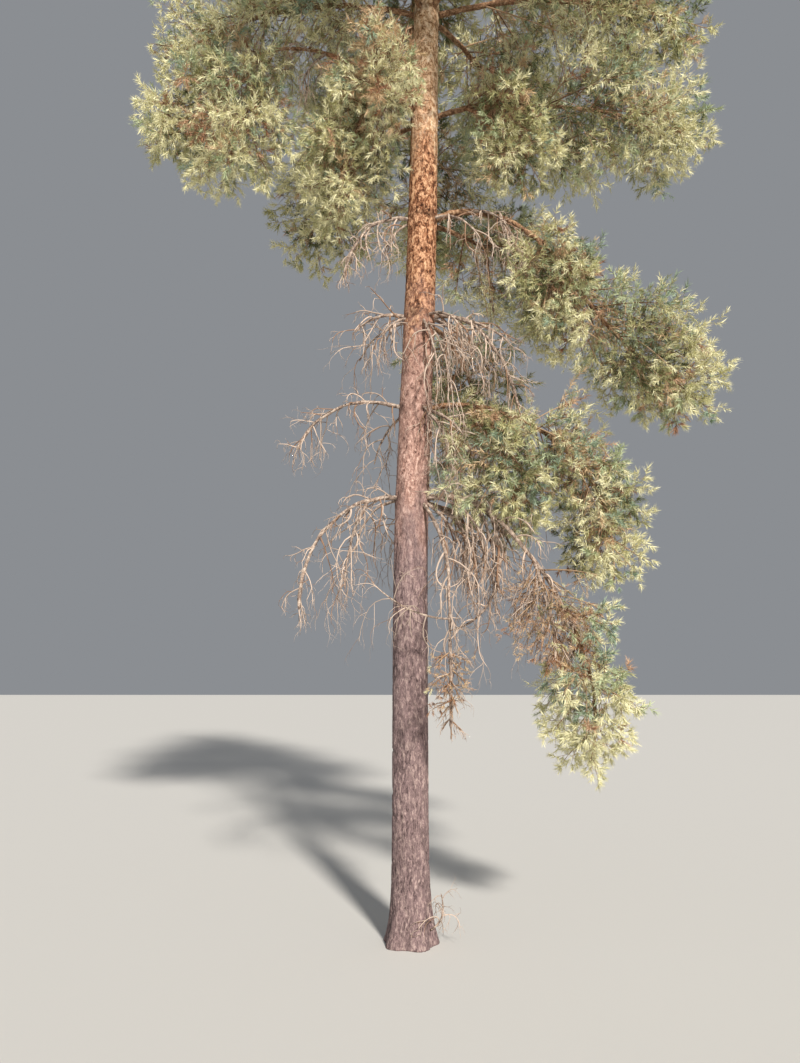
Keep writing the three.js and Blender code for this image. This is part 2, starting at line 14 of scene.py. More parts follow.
import bpy
import numpy as np
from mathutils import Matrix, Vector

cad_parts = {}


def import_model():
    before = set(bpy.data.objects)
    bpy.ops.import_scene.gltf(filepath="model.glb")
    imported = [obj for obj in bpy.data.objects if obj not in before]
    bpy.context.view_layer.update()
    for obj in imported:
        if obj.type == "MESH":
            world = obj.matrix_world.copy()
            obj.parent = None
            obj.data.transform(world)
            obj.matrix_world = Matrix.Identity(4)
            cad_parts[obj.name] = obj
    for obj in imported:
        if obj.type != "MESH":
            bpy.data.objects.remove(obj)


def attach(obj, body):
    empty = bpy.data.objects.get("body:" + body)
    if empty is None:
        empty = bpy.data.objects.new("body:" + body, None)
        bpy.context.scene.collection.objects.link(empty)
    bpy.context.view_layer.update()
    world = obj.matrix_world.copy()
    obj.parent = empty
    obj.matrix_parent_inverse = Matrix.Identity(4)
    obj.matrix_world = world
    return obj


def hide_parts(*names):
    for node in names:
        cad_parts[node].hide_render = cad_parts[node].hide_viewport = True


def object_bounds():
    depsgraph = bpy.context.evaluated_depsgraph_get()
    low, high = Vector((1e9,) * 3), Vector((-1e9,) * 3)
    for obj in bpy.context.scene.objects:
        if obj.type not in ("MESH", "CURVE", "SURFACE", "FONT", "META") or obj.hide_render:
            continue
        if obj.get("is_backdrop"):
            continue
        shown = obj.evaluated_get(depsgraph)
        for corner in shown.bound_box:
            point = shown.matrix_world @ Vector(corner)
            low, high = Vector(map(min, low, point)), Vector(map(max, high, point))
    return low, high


LOG = logging.getLogger("pine_tree")
BODY = "root"
GOLDEN_TURN = 137.5
UP = np.array([0.0, 0.0, 1.0])
TINY = 1e-12

Pair = tuple[float, float]
Triple = tuple[float, float, float]
Socket = bpy.types.NodeSocket


class Slot(Enum):
    """The record's material slots."""

    TRUNK_BARK = "trunk_bark"
    BOUGH_BARK = "bough_bark"
    DEAD_WOOD = "dead_wood"
    DEAD_TWIGS = "dead_twigs"
    NEEDLES = "needles"
    DRY_NEEDLES = "dry_needles"


class Kind(Enum):
    """What grows on the stem of a mass: needles, dry needles among bare twigs, or bare twigs."""

    LIVE = "live"
    DRY = "dry"
    DEAD = "dead"


# The tree's plan


@dataclass(frozen=True)
class Bough:
    """One bare limb: what carries it, how it bends, and how thick it is.

    "on" is a whorl of the trunk by its number, or another bough, whose tip it follows, or whose side it
    leaves at the share "along". Only a limb that leaves a whorl or a side uses its turn and rise. A limb
    with a height leaves the trunk there. The limb sags and swings by so many degrees over its reach, and
    its radius runs from base to tip.
    """

    name: str
    on: int | str
    turn: float
    rise: float
    sag: float
    swing: float
    reach: float
    base: float
    tip: float
    along: float | None = None
    dead: bool = True
    height: float | None = None


@dataclass(frozen=True)
class Mass:
    """One mass of needles or of bare twigs: its stem, and the egg-shaped space that it keeps to.

    The stem is laid out like a bough, with 0 for the trunk's top. It is bare up to the share "bare", and
    the space is as wide and as deep, to either side, round the rest of it. The solid has so many twigs.
    """

    name: str
    on: int | str
    turn: float
    rise: float
    sag: float
    swing: float
    reach: float
    bare: float
    wide: float
    deep: float
    twigs: int = 7
    along: float | None = None
    kind: Kind = Kind.LIVE

    def is_dry(self) -> bool:
        """Tells whether its needles are dry."""
        return self.kind is Kind.DRY


def ring(whorl: int, turns: dict[str, float], *sizes: float) -> tuple[Mass, ...]:
    """Gives masses of one whorl that differ only in their side's name and turn."""
    return tuple(Mass(f"needles_{whorl}_{side}", whorl, turn, *sizes) for side, turn in turns.items())


BOUGHS = (
    Bough("bough_1_left", 1, 196, 8, 44, 10, 0.4, 0.017, 0.009),
    Bough("bough_1_right", 1, 352, 16, 62, -6, 0.52, 0.022, 0.016),
    Bough("bough_1_right_outer", "bough_1_right", 0, 0, 22, 4, 0.86, 0.015, 0.009),
    Bough("bough_1_right_hook", "bough_1_right", 335, -66, 34, 0, 0.43, 0.012, 0.009, along=0.9),
    Bough("bough_1_right_hook_end", "bough_1_right_hook", 0, 0, 72, 0, 0.5, 0.009, 0.005),
    Bough("bough_1_front", 1, 312, -40, 52, -50, 1.04, 0.013, 0.007),
    Bough("bough_2_left", 2, 188, 24, 44, -8, 0.44, 0.015, 0.008),
    Bough("bough_2_right", 2, 10, 24, 46, -14, 0.52, 0.018, 0.013, dead=False),
    Bough("bough_2_right_outer", "bough_2_right", 0, 0, 24, -8, 0.5, 0.013, 0.01, dead=False),
    Bough("bough_3_left", 3, 184, 26, 84, 0, 0.43, 0.014, 0.005),
    Bough("bough_3_right", 3, 345, 12, 64, 8, 0.42, 0.018, 0.01),
    Bough("bough_4_left", 4, 186, 18, 72, 0, 0.4, 0.014, 0.007),
    Bough("bough_4_right", 4, 4, 32, 62, -4, 0.6, 0.024, 0.018, dead=False),
    Bough("bough_4_right_outer", "bough_4_right", 0, 0, 32, -4, 0.54, 0.018, 0.013, dead=False),
    Bough("bough_5_left", 5, 190, 56, 52, -8, 1.02, 0.02, 0.012, dead=False),
    Bough("bough_5_left_outer", "bough_5_left", 0, 0, 62, -8, 0.56, 0.012, 0.008, dead=False),
    Bough("bough_5_right", 5, 358, 26, 24, 6, 0.58, 0.02, 0.013, dead=False),
)

MASSES = (
    Mass("dead_twigs_1_left", "bough_1_left", 0, 0, 56, 10, 0.74, 0, 0.28, 0.26, 8, kind=Kind.DEAD),
    Mass("dead_twigs_1_front", "bough_1_front", 0, 0, -4, 0, 0.5, 0, 0.15, 0.15, 6, kind=Kind.DRY),
    Mass("dead_twigs_2_left", "bough_2_left", 0, 0, 50, -8, 0.43, 0, 0.24, 0.23, 8, kind=Kind.DEAD),
    Mass("dead_twigs_3_right", "bough_3_right", 0, 0, 30, 10, 0.56, 0, 0.32, 0.3, 9, kind=Kind.DEAD),
    Mass("dead_twigs_4_left", "bough_4_left", 0, 0, 30, 0, 0.36, 0, 0.15, 0.15, 7, kind=Kind.DEAD),
    Mass(
        "needles_1_right_inner", "bough_1_right_outer", 320, -66, 18, 0, 0.58, 0.1, 0.31, 0.3,
        along=0.4, kind=Kind.DRY,
    ),
    Mass("needles_1_right_outer", "bough_1_right_outer", 0, 0, 28, 10, 0.66, 0, 0.36, 0.34),
    Mass("needles_2_right_inner", "bough_2_right", 335, -56, 22, 0, 0.8, 0, 0.46, 0.43, along=0.6),
    Mass("needles_2_right_outer", "bough_2_right_outer", 0, 0, 42, 8, 0.74, 0, 0.46, 0.37),
    Mass("needles_4_right_low", "bough_4_right_outer", 338, -66, 4, 0, 0.78, 0, 0.42, 0.4, along=0.4),
    Mass("needles_4_right_tip", "bough_4_right_outer", 0, 0, -24, 0, 1.12, 0.12, 0.54, 0.42, 8),
    Mass("needles_4_right_back", 4, 42, 14, 56, -20, 1.15, 0.25, 0.48, 0.46),
    Mass("needles_3_back", 3, 62, 14, 52, 10, 1.3, 0.35, 0.5, 0.44),
    Mass("needles_5_back_left", 5, 134, 12, 44, -10, 1.5, 0.3, 0.5, 0.44),
    Mass("needles_5_back", 5, 84, 22, 44, 0, 1.65, 0.3, 0.58, 0.46),
    Mass("needles_5_right_inner", "bough_5_right", 340, -34, 30, 10, 0.66, 0, 0.42, 0.4, along=0.45),
    Mass("needles_5_right_outer", "bough_5_right", 0, 0, 18, 0, 1.2, 0.05, 0.54, 0.52, 8),
    Mass("needles_5_left_inner", "bough_5_left", 172, -62, 22, 0, 0.98, 0.05, 0.42, 0.42, along=0.38),
    Mass("needles_5_left_low", "bough_5_left_outer", 196, -70, 6, 0, 0.98, 0.15, 0.44, 0.44, along=0.3),
    Mass("needles_5_left_tip", "bough_5_left_outer", 0, 0, -20, 0, 0.52, 0.05, 0.44, 0.43),
    Mass("needles_6_right", 6, 2, 20, 38, 0, 1.85, 0.2, 0.56, 0.46, 8),
    Mass("needles_6_left", 6, 174, 24, 56, 0, 1.85, 0.18, 0.56, 0.46, 8),
    Mass("needles_6_back_right", 6, 58, 24, 40, 0, 1.75, 0.3, 0.56, 0.46),
    Mass("needles_6_back_left", 6, 118, 22, 40, 0, 1.75, 0.3, 0.56, 0.46),
    *ring(6, {"front_left": 236, "front_right": 306}, 30, 44, 0, 1.75, 0.3, 0.58, 0.44),
    *ring(7, {"right": 28, "back": 96}, 24, 36, 0, 1.68, 0.22, 0.6, 0.44),
    Mass("needles_7_left", 7, 168, 26, 36, 0, 1.68, 0.22, 0.6, 0.44),
    Mass("needles_7_front", 7, 272, 26, 36, 0, 1.65, 0.22, 0.68, 0.44),
    Mass("needles_8_right", 8, 340, 30, 34, 0, 1.46, 0.18, 0.62, 0.42),
    Mass("needles_8_back", 8, 66, 30, 34, 0, 1.44, 0.18, 0.62, 0.42),
    Mass("needles_8_left", 8, 206, 30, 34, 0, 1.46, 0.18, 0.62, 0.42),
    *ring(9, {"right": 20, "left": 140, "front": 264}, 34, 32, 0, 1.25, 0.15, 0.56, 0.4),
    *ring(10, {"right": 322, "back": 78, "left": 202}, 38, 28, 0, 1.0, 0.12, 0.48, 0.36),
    *ring(11, {"right": 12, "left": 192}, 42, 26, 0, 0.78, 0.1, 0.42, 0.32),
    Mass("needles_top", 0, 0, 90, 4, 0, 1.1, 0.03, 0.42, 0.42, 12),
)

# Small limbs that the solids leave out: dead ones on the whorls and the boughs, and two thin shoots
SNAGS = (
    Bough("snag_2_front", 2, 300, 6, 150, -10, 0.26, 0.009, 0.004),
    Bough("snag_3_front", 3, 285, -40, 56, 30, 0.62, 0.011, 0.004),
    Bough("snag_3_left", 3, 205, -10, 80, 0, 0.4, 0.01, 0.004),
    Bough("snag_3_back", 3, 150, 10, 70, 0, 0.5, 0.01, 0.004),
    Bough("snag_2_back", 2, 120, 12, 90, 20, 0.55, 0.011, 0.004),
    Bough("snag_2_back_right", 2, 60, 20, 90, -20, 0.6, 0.012, 0.004),
    Bough("snag_1_back", 1, 95, 10, 84, 20, 0.62, 0.012, 0.004),
    Bough("snag_1_back_left", 1, 150, 12, 96, -10, 0.55, 0.011, 0.004),
    Bough("snag_1_right", 1, 20, -6, 84, -30, 0.62, 0.012, 0.004),
    Bough("snag_1_low", 1, 340, -30, 60, 10, 0.6, 0.011, 0.004),
    Bough("snag_3_right", 3, 20, 16, 90, 0, 0.5, 0.012, 0.004),
    Bough("snag_4_right", 4, 330, 8, 90, 20, 0.52, 0.011, 0.004),
    Bough("snag_4_back", 4, 175, -10, 80, 0, 0.34, 0.009, 0.004),
    Bough("snag_5_left", "bough_5_left", 200, -70, 20, 0, 0.2, 0.008, 0.004, along=0.3),
    Bough("snag_1_across", "bough_1_front", 184, 2, -46, 0, 0.52, 0.006, 0.003, along=0.88),
    Bough("snag_2_right", 2, 340, -12, 70, 20, 0.5, 0.012, 0.004),
    Bough("snag_2_right_low", 2, 318, -34, 60, 40, 0.46, 0.01, 0.004),
    Bough("snag_3_right_low", 3, 330, -20, 60, 30, 0.6, 0.012, 0.004),
    Bough("snag_3_outer", "bough_3_right", 350, -12, 44, 0, 0.46, 0.011, 0.004, along=0.5),
    Bough("snag_1_outer", "bough_1_right", 20, -20, 60, -20, 0.55, 0.011, 0.004, along=0.55),
    Bough("snag_1_under", "bough_1_right", 320, -50, 70, 60, 0.6, 0.01, 0.004, along=0.45),
    Bough("snag_1_left_low", "bough_1_left", 190, -60, 30, 30, 0.6, 0.01, 0.004, along=0.6),
    Bough("snag_1_fan_front", 1, 328, 6, 96, 20, 0.66, 0.011, 0.004),
    Bough("snag_1_fan_low", 1, 344, -20, 84, 40, 0.8, 0.011, 0.004),
    Bough("snag_1_fan_back", 1, 36, 4, 88, -40, 0.72, 0.011, 0.004),
    Bough("snag_1_hanging", "bough_1_right", 350, -60, 40, 0, 0.55, 0.011, 0.004, along=0.7),
    Bough("snag_3_fan", 3, 310, 10, 110, 40, 0.5, 0.011, 0.004),
    Bough("snag_3_long", 3, 304, -46, 42, -16, 0.95, 0.007, 0.003),
    Bough("snag_4_outer", "bough_4_right", 352, -44, 40, 0, 0.5, 0.012, 0.004, along=0.75),
    Bough("snag_4_upper", "bough_4_right", 330, 0, 80, 20, 0.4, 0.01, 0.004, along=0.5),
    Bough("snag_5_arch", "bough_5_left", 206, -40, 50, 0, 0.4, 0.01, 0.004, along=0.8),
    Bough("snag_5_arch_end", "bough_5_left_outer", 214, -60, 30, 0, 0.42, 0.009, 0.004, along=0.4),
    Bough("shoot_5_front_left", 5, 226, 40, 60, 0, 0.46, 0.011, 0.005, dead=False),
    Bough("foot_sucker", 1, 330, 30, -90, 90, 0.24, 0.006, 0.003, height=0.09),
)

# The masses of each piece of twigs and needles, by the starts of their names
REGIONS = {
    "low_right": ("needles_1_", "needles_2_", "dead_twigs_1_front"),
    "middle_right": ("needles_4_right", "needles_5_right"),
    "left": ("needles_5_left", "needles_6_left"),
    "back": ("needles_3_", "needles_5_back", "needles_6_back"),
    "front": ("needles_6_front", "needles_6_right", "needles_7_front"),
    "upper": ("needles_7_right", "needles_7_back", "needles_7_left", "needles_8_"),
    "crown_top": ("needles_9_", "needles_10_", "needles_11_", "needles_top"),
}


def by_mass(value: Callable[[Mass], object], owner: np.ndarray) -> np.ndarray:
    """Works a value out for every mass, and looks it up for each owner's number."""
    return np.array([value(mass) for mass in MASSES])[owner]


# Curves and noise as whole arrays


def heading(turn: np.ndarray | float, rise: np.ndarray | float) -> np.ndarray:
    """Gives the unit direction (cos r cos t, cos r sin t, sin r).

    Args:
        turn: Turns t about the upright axis, in degrees.
        rise: Rises r above level, in degrees.

    Returns:
        The directions, with the three coordinates on the last axis.
    """
    t, r = np.broadcast_arrays(np.radians(turn), np.radians(rise))
    return np.stack([np.cos(r) * np.cos(t), np.cos(r) * np.sin(t), np.sin(r)], axis=-1)


def unit(v: np.ndarray) -> np.ndarray:
    """Scales vectors on the last axis to length 1."""
    return v / np.maximum(np.linalg.norm(v, axis=-1, keepdims=True), TINY)


def angles_of(way: np.ndarray) -> tuple[np.ndarray, np.ndarray]:
    """Gives the turn and the rise, in degrees, of unit directions."""
    turn = np.degrees(np.arctan2(way[..., 1], way[..., 0]))
    return turn, np.degrees(np.arcsin(np.clip(way[..., 2], -1, 1)))


def splay(way: np.ndarray, roll: np.ndarray, spread: np.ndarray) -> np.ndarray:
    """Turns directions aside: way * cos(spread) + out * sin(spread).

    Out is the level direction across the way, turned about the way by the roll.

    Args:
        way: Unit directions.
        roll: Their rolls, in radians.
        spread: The angles between the old and the new directions, in radians.

    Returns:
        The new unit directions.
    """
    side = unit(np.cross(UP, way))
    out = side * np.cos(roll)[..., None] + np.cross(way, side) * np.sin(roll)[..., None]
    return way * np.cos(spread)[..., None] + out * np.sin(spread)[..., None]


def scatter(rng: np.random.Generator, shape: int | tuple[int, ...]) -> np.ndarray:
    """Draws numbers evenly from -1 to 1."""
    return rng.random(shape) * 2 - 1


def ease(x: np.ndarray, low: float, high: float) -> np.ndarray:
    """Rises from 0 at low to 1 at high as 3t^2 - 2t^3."""
    t = np.clip((x - low) / (high - low), 0, 1)
    return t * t * (3 - 2 * t)


def lattice(u: np.ndarray, v: np.ndarray, columns: int, seed: int) -> np.ndarray:
    """Smooth noise from 0 to 1 on a lattice of random values, joined by 3t^2 - 2t^3 along both ways.

    Args:
        u: Places round the limb, which repeat after 1.
        v: Places along it, in cells, from 0.
        columns: Cells round the limb.
        seed: Names the lattice.

    Returns:
        The noise, in the shape of u.
    """
    rows = int(np.max(v)) + 3
    table = np.random.default_rng(seed).random((rows, columns))
    x, y = np.mod(u, 1.0) * columns, np.maximum(v, 0)
    i, j = np.floor(x).astype(int), np.floor(y).astype(int)
    a, b = ease(x - i, 0, 1), ease(y - j, 0, 1)
    low = table[j, i % columns] * (1 - a) + table[j, (i + 1) % columns] * a
    high = table[j + 1, i % columns] * (1 - a) + table[j + 1, (i + 1) % columns] * a
    return low * (1 - b) + high * b


@dataclass(frozen=True)
class Grain:
    """One noise of a bark: the height of its cells in metres, how many go round, and its seed.

    Its furrows are as wide as the share of the noise that "width" gives.
    """

    height: float
    columns: int
    seed: int
    width: float = 0.0
    shift: float = 0.0

    def level(self, u: np.ndarray, length: np.ndarray, seed: int = 0) -> np.ndarray:
        """Gives the noise from 0 to 1 at places u round the limb and lengths along it."""
        return lattice(u, length / self.height + self.shift, self.columns, self.seed + seed)

    def wave(self, u: np.ndarray, length: np.ndarray, seed: int = 0) -> np.ndarray:
        """Gives the noise less its middle of 0.5."""
        return self.level(u, length, seed) - 0.5

    def plates(self, u: np.ndarray, length: np.ndarray, seed: int = 0) -> np.ndarray:
        """Plates of 1 with furrows down to 0 where the noise n passes its middle: ease(|2n - 1| / width)."""
        return ease(np.abs(2 * self.level(u, length, seed) - 1), 0, self.width)


class SeededRandom:
    """Numbers from 0 to 1 by the solids' rule: each state is the last times a factor, modulo a prime."""

    FACTOR = 48271
    PRIME = 2147483647

    def __init__(self, seed: int) -> None:
        """Starts the row of numbers at a seed."""
        self.state = seed

    def __call__(self) -> float:
        """Gives the next number."""
        self.state = (self.state * self.FACTOR) % self.PRIME
        return self.state / self.PRIME


ROWS = ("start", "turn", "rise", "sag", "swing", "reach", "base", "tip", "owner", "tint", "root")


@dataclass
class Strands:
    """Many tapering limbs as arrays, one row each, that drop and swing evenly along their length.

    The direction at the share s is heading(turn + swing s, rise - sag s), and the points are its running
    sum at the middles of the steps. A crook adds crook * sin(wave s + phase) to both angles, with a phase
    of its own for each limb. The owner is the number of the limb's mass, the tint that of its colour, and
    the root is the row of the limb that it grows from.
    """

    CROOK_WAVES = (9, 7)
    PHASE_WAY = np.array([1.27, 3.11, 0.74])
    PHASE_RATE = 1e4
    LAST_STEP = 1e-6

    start: np.ndarray
    turn: np.ndarray
    rise: np.ndarray
    sag: np.ndarray
    swing: np.ndarray
    reach: np.ndarray
    base: np.ndarray
    tip: np.ndarray
    owner: np.ndarray
    tint: np.ndarray
    root: np.ndarray
    steps: int = 4
    crook: float = 0.0

    def __len__(self) -> int:
        """Counts the limbs."""
        return len(self.turn)

    @staticmethod
    def one(
        start: np.ndarray, turn: float, rise: float, limb: Bough | Mass, base: float, tip: float, steps: int
    ) -> Strands:
        """Makes a single limb of the plan.

        Args:
            start: Where it begins.
            turn: Its first turn.
            rise: Its first rise.
            limb: The row of the plan that gives its sag, swing and reach.
            base: Its radius where it begins.
            tip: Its radius at its end.
            steps: How many stretches it has.

        Returns:
            The limb, as strands with one row.
        """
        rows = [np.array([x], float) for x in (turn, rise, limb.sag, limb.swing, limb.reach, base, tip)]
        return Strands(np.array([start], float), *rows, *np.zeros((3, 1), int), steps)

    @staticmethod
    def join(parts: Sequence[Strands]) -> Strands:
        """Puts several sets of strands with the same steps and crook into one."""
        rows = (np.concatenate([getattr(part, name) for part in parts]) for name in ROWS)
        return Strands(*rows, parts[0].steps, parts[0].crook)

    def pick(self, keep: np.ndarray) -> Strands:
        """Keeps the rows that a mask or an index names."""
        return Strands(*(getattr(self, name)[keep] for name in ROWS), self.steps, self.crook)

    def restepped(self, steps: int) -> Strands:
        """Copies the limbs with another number of steps."""
        return replace(self, steps=steps)

    def ways(self, share: np.ndarray) -> np.ndarray:
        """Gives the directions along the limbs.

        Args:
            share: Shares of their length, one row a limb or one row for all.

        Returns:
            The unit directions there.
        """
        turn = self.turn[:, None] + self.swing[:, None] * share
        rise = self.rise[:, None] - self.sag[:, None] * share
        if self.crook:
            sideways, upright = self.CROOK_WAVES
            phase = self.PHASE_RATE * (self.start @ self.PHASE_WAY)[:, None]
            turn = turn + self.crook * (np.sin(sideways * share + phase) - np.sin(phase))
            rise = rise + self.crook * (np.sin(upright * share + 2 * phase) - np.sin(2 * phase))
        return heading(turn, rise)

    def points(self) -> np.ndarray:
        """Works out the points at the ends of the steps.

        Returns:
            The points, in the shape (limbs, steps + 1, 3).
        """
        middles = (np.arange(self.steps) + 0.5) / self.steps
        moves = self.ways(middles[None, :]) * (self.reach / self.steps)[:, None, None]
        run = np.cumsum(moves, axis=1)
        return np.concatenate([self.start[:, None], self.start[:, None] + run], axis=1)

    def at(self, share: np.ndarray) -> tuple[np.ndarray, np.ndarray, np.ndarray]:
        """Looks up places along the limbs.

        Args:
            share: Shares of their length, one row a limb.

        Returns:
            The points, the directions and the radii there.
        """
        points = self.points()
        place = np.clip(share * self.steps, 0, self.steps - self.LAST_STEP)
        i = np.floor(place).astype(int)
        rows = np.arange(len(self))[:, None]
        part = (place - i)[..., None]
        point = points[rows, i] * (1 - part) + points[rows, i + 1] * part
        radius = self.base[:, None] + (self.tip - self.base)[:, None] * share
        return point, self.ways(share), radius

    def ends(self) -> np.ndarray:
        """Gives the last point of each limb."""
        return self.points()[:, -1]


# Meshes


@dataclass
class Surface:
    """Points, the corners of faces, the faces' sizes and tints, and a relief from 0 to 1 at each point."""

    points: np.ndarray
    corners: np.ndarray
    sizes: np.ndarray
    tints: np.ndarray
    relief: np.ndarray | None = None

    @staticmethod
    def join(parts: Sequence[Surface]) -> Surface:
        """Puts several surfaces into one.

        Args:
            parts: The surfaces, which all have a relief or all have none.

        Returns:
            The one surface, with the corners renumbered.
        """
        firsts = np.cumsum([0] + [len(p.points) for p in parts[:-1]])
        relief = None if parts[0].relief is None else np.concatenate([p.relief for p in parts])
        return Surface(
            np.concatenate([p.points for p in parts]),
            np.concatenate([p.corners + first for p, first in zip(parts, firsts)]),
            np.concatenate([p.sizes for p in parts]),
            np.concatenate([p.tints for p in parts]),
            relief,
        )

    def triangles(self) -> int:
        """Counts the triangles."""
        return int(np.sum(self.sizes - 2))

    def build(
        self, name: str, materials: Sequence[bpy.types.Material], smooth: bool = True
    ) -> bpy.types.Object:
        """Makes the mesh object at the origin.

        Args:
            name: The object's name.
            materials: One for each tint.
            smooth: True for smooth shading.

        Returns:
            The object, linked into the scene.
        """
        mesh = bpy.data.meshes.new(name)
        mesh.vertices.add(len(self.points))
        mesh.vertices.foreach_set("co", self.points.astype(np.float32).ravel())
        mesh.loops.add(len(self.corners))
        mesh.loops.foreach_set("vertex_index", self.corners.astype(np.int32))
        mesh.polygons.add(len(self.sizes))
        starts = np.concatenate([[0], np.cumsum(self.sizes)[:-1]])
        mesh.polygons.foreach_set("loop_start", starts.astype(np.int32))
        mesh.polygons.foreach_set("material_index", self.tints.astype(np.int32))
        mesh.polygons.foreach_set("use_smooth", np.full(len(self.sizes), smooth))
        mesh.update(calc_edges=True)
        if self.relief is not None:
            layer = mesh.attributes.new("relief", "FLOAT", "POINT")
            layer.data.foreach_set("value", self.relief.astype(np.float32))
        for material in materials:
            mesh.materials.append(material)
        piece = bpy.data.objects.new(name, mesh)
        bpy.context.scene.collection.objects.link(piece)
        return piece


def ring_faces(limbs: int, rings: int, sides: int) -> np.ndarray:
    """Gives the quads between neighbouring rings of tubes whose points run ring by ring.

    Args:
        limbs: How many tubes.
        rings: Rings on each.
        sides: Points on a ring.

    Returns:
        The corners, four a row, with faces that point outwards.
    """
    limb = np.arange(limbs)[:, None, None] * rings * sides
    ring = np.arange(rings - 1)[None, :, None] * sides
    side = np.arange(sides)[None, None, :]
    beside = (side + 1) % sides
    a, b = limb + ring + side, limb + ring + beside
    return np.stack([a, b, b + sides, a + sides], axis=-1).reshape(-1, 4)


def capped(points: np.ndarray, relief: np.ndarray) -> Surface:
    """Closes one tube with a flat cap at both ends.

    Args:
        points: Its points, in the shape (rings, sides, 3).
        relief: The relief at each point.

    Returns:
        The surface.
    """
    rings, sides = points.shape[:2]
    quads = ring_faces(1, rings, sides)
    side = np.arange(sides)
    corners = np.concatenate([quads.ravel(), side[::-1], (rings - 1) * sides + side])
    sizes = np.concatenate([np.full(len(quads), 4), [sides, sides]])
    return Surface(points.reshape(-1, 3), corners, sizes, np.zeros(len(sizes)), relief.ravel())


def tubes(strands: Strands, sides: int) -> Surface:
    """Closed tapering tubes with a pointed end: rings of radius r about the path, and a tip point.

    Args:
        strands: The limbs.
        sides: Points on each ring.

    Returns:
        The surface, each face with its limb's tint.
    """
    count, steps = len(strands), strands.steps
    share = np.arange(steps) / steps
    points = strands.points()
    ways = strands.ways(share[None, :])
    turn = strands.turn[:, None] + strands.swing[:, None] * share + 90
    across = heading(turn, np.zeros_like(turn))
    third = np.cross(across, ways)
    angle = (np.arange(sides) * 2 * np.pi / sides)[None, None, :, None]
    radius = strands.base[:, None] + (strands.tip - strands.base)[:, None] * share
    circle = across[:, :, None] * np.cos(angle) - third[:, :, None] * np.sin(angle)
    rings = points[:, :-1, None] + circle * radius[:, :, None, None]
    body = rings.reshape(-1, 3)
    tips = points[:, -1]
    quads = ring_faces(count, steps, sides)
    limb = np.arange(count)[:, None]
    last = (limb * steps + steps - 1) * sides
    side = np.arange(sides)[None, :]
    end = np.broadcast_to(len(body) + limb, (count, sides))
    cone = np.stack([last + side, last + (side + 1) % sides, end], axis=-1).reshape(-1, 3)
    caps = limb * steps * sides + side[:, ::-1]
    corners = np.concatenate([quads.ravel(), cone.ravel(), caps.ravel()])
    sizes = np.concatenate([np.full(len(quads), 4), np.full(len(cone), 3), np.full(count, sides)])
    tint = strands.tint
    tints = np.concatenate([np.repeat(tint, (steps - 1) * sides), np.repeat(tint, sides), tint])
    return Surface(np.concatenate([body, tips]), corners, sizes, tints)


# Finishes


def new_material(name: str, shine: float) -> tuple[bpy.types.Material, bpy.types.Node]:
    """Starts a material.

    Args:
        name: Its name.
        shine: The level of its mirror-like reflections.

    Returns:
        The material and its shader.
    """
    material = bpy.data.materials.new(name)
    material.use_nodes = True
    shader = material.node_tree.nodes["Principled BSDF"]
    shader.inputs["Specular IOR Level"].default_value = shine
    return material, shader


@dataclass(frozen=True)
class Plain:
    """A plain base colour, for needles and thin twigs that are dealt out by spray."""

    name: str
    colour: Triple
    roughness: float = 0.6
    shine: float = 0.3

    def material(self) -> bpy.types.Material:
        """Makes the material.

        Returns:
            The material.
        """
        material, shader = new_material(self.name, self.shine)
        shader.inputs["Base Color"].default_value = (*self.colour, 1)
        shader.inputs["Roughness"].default_value = self.roughness
        return material


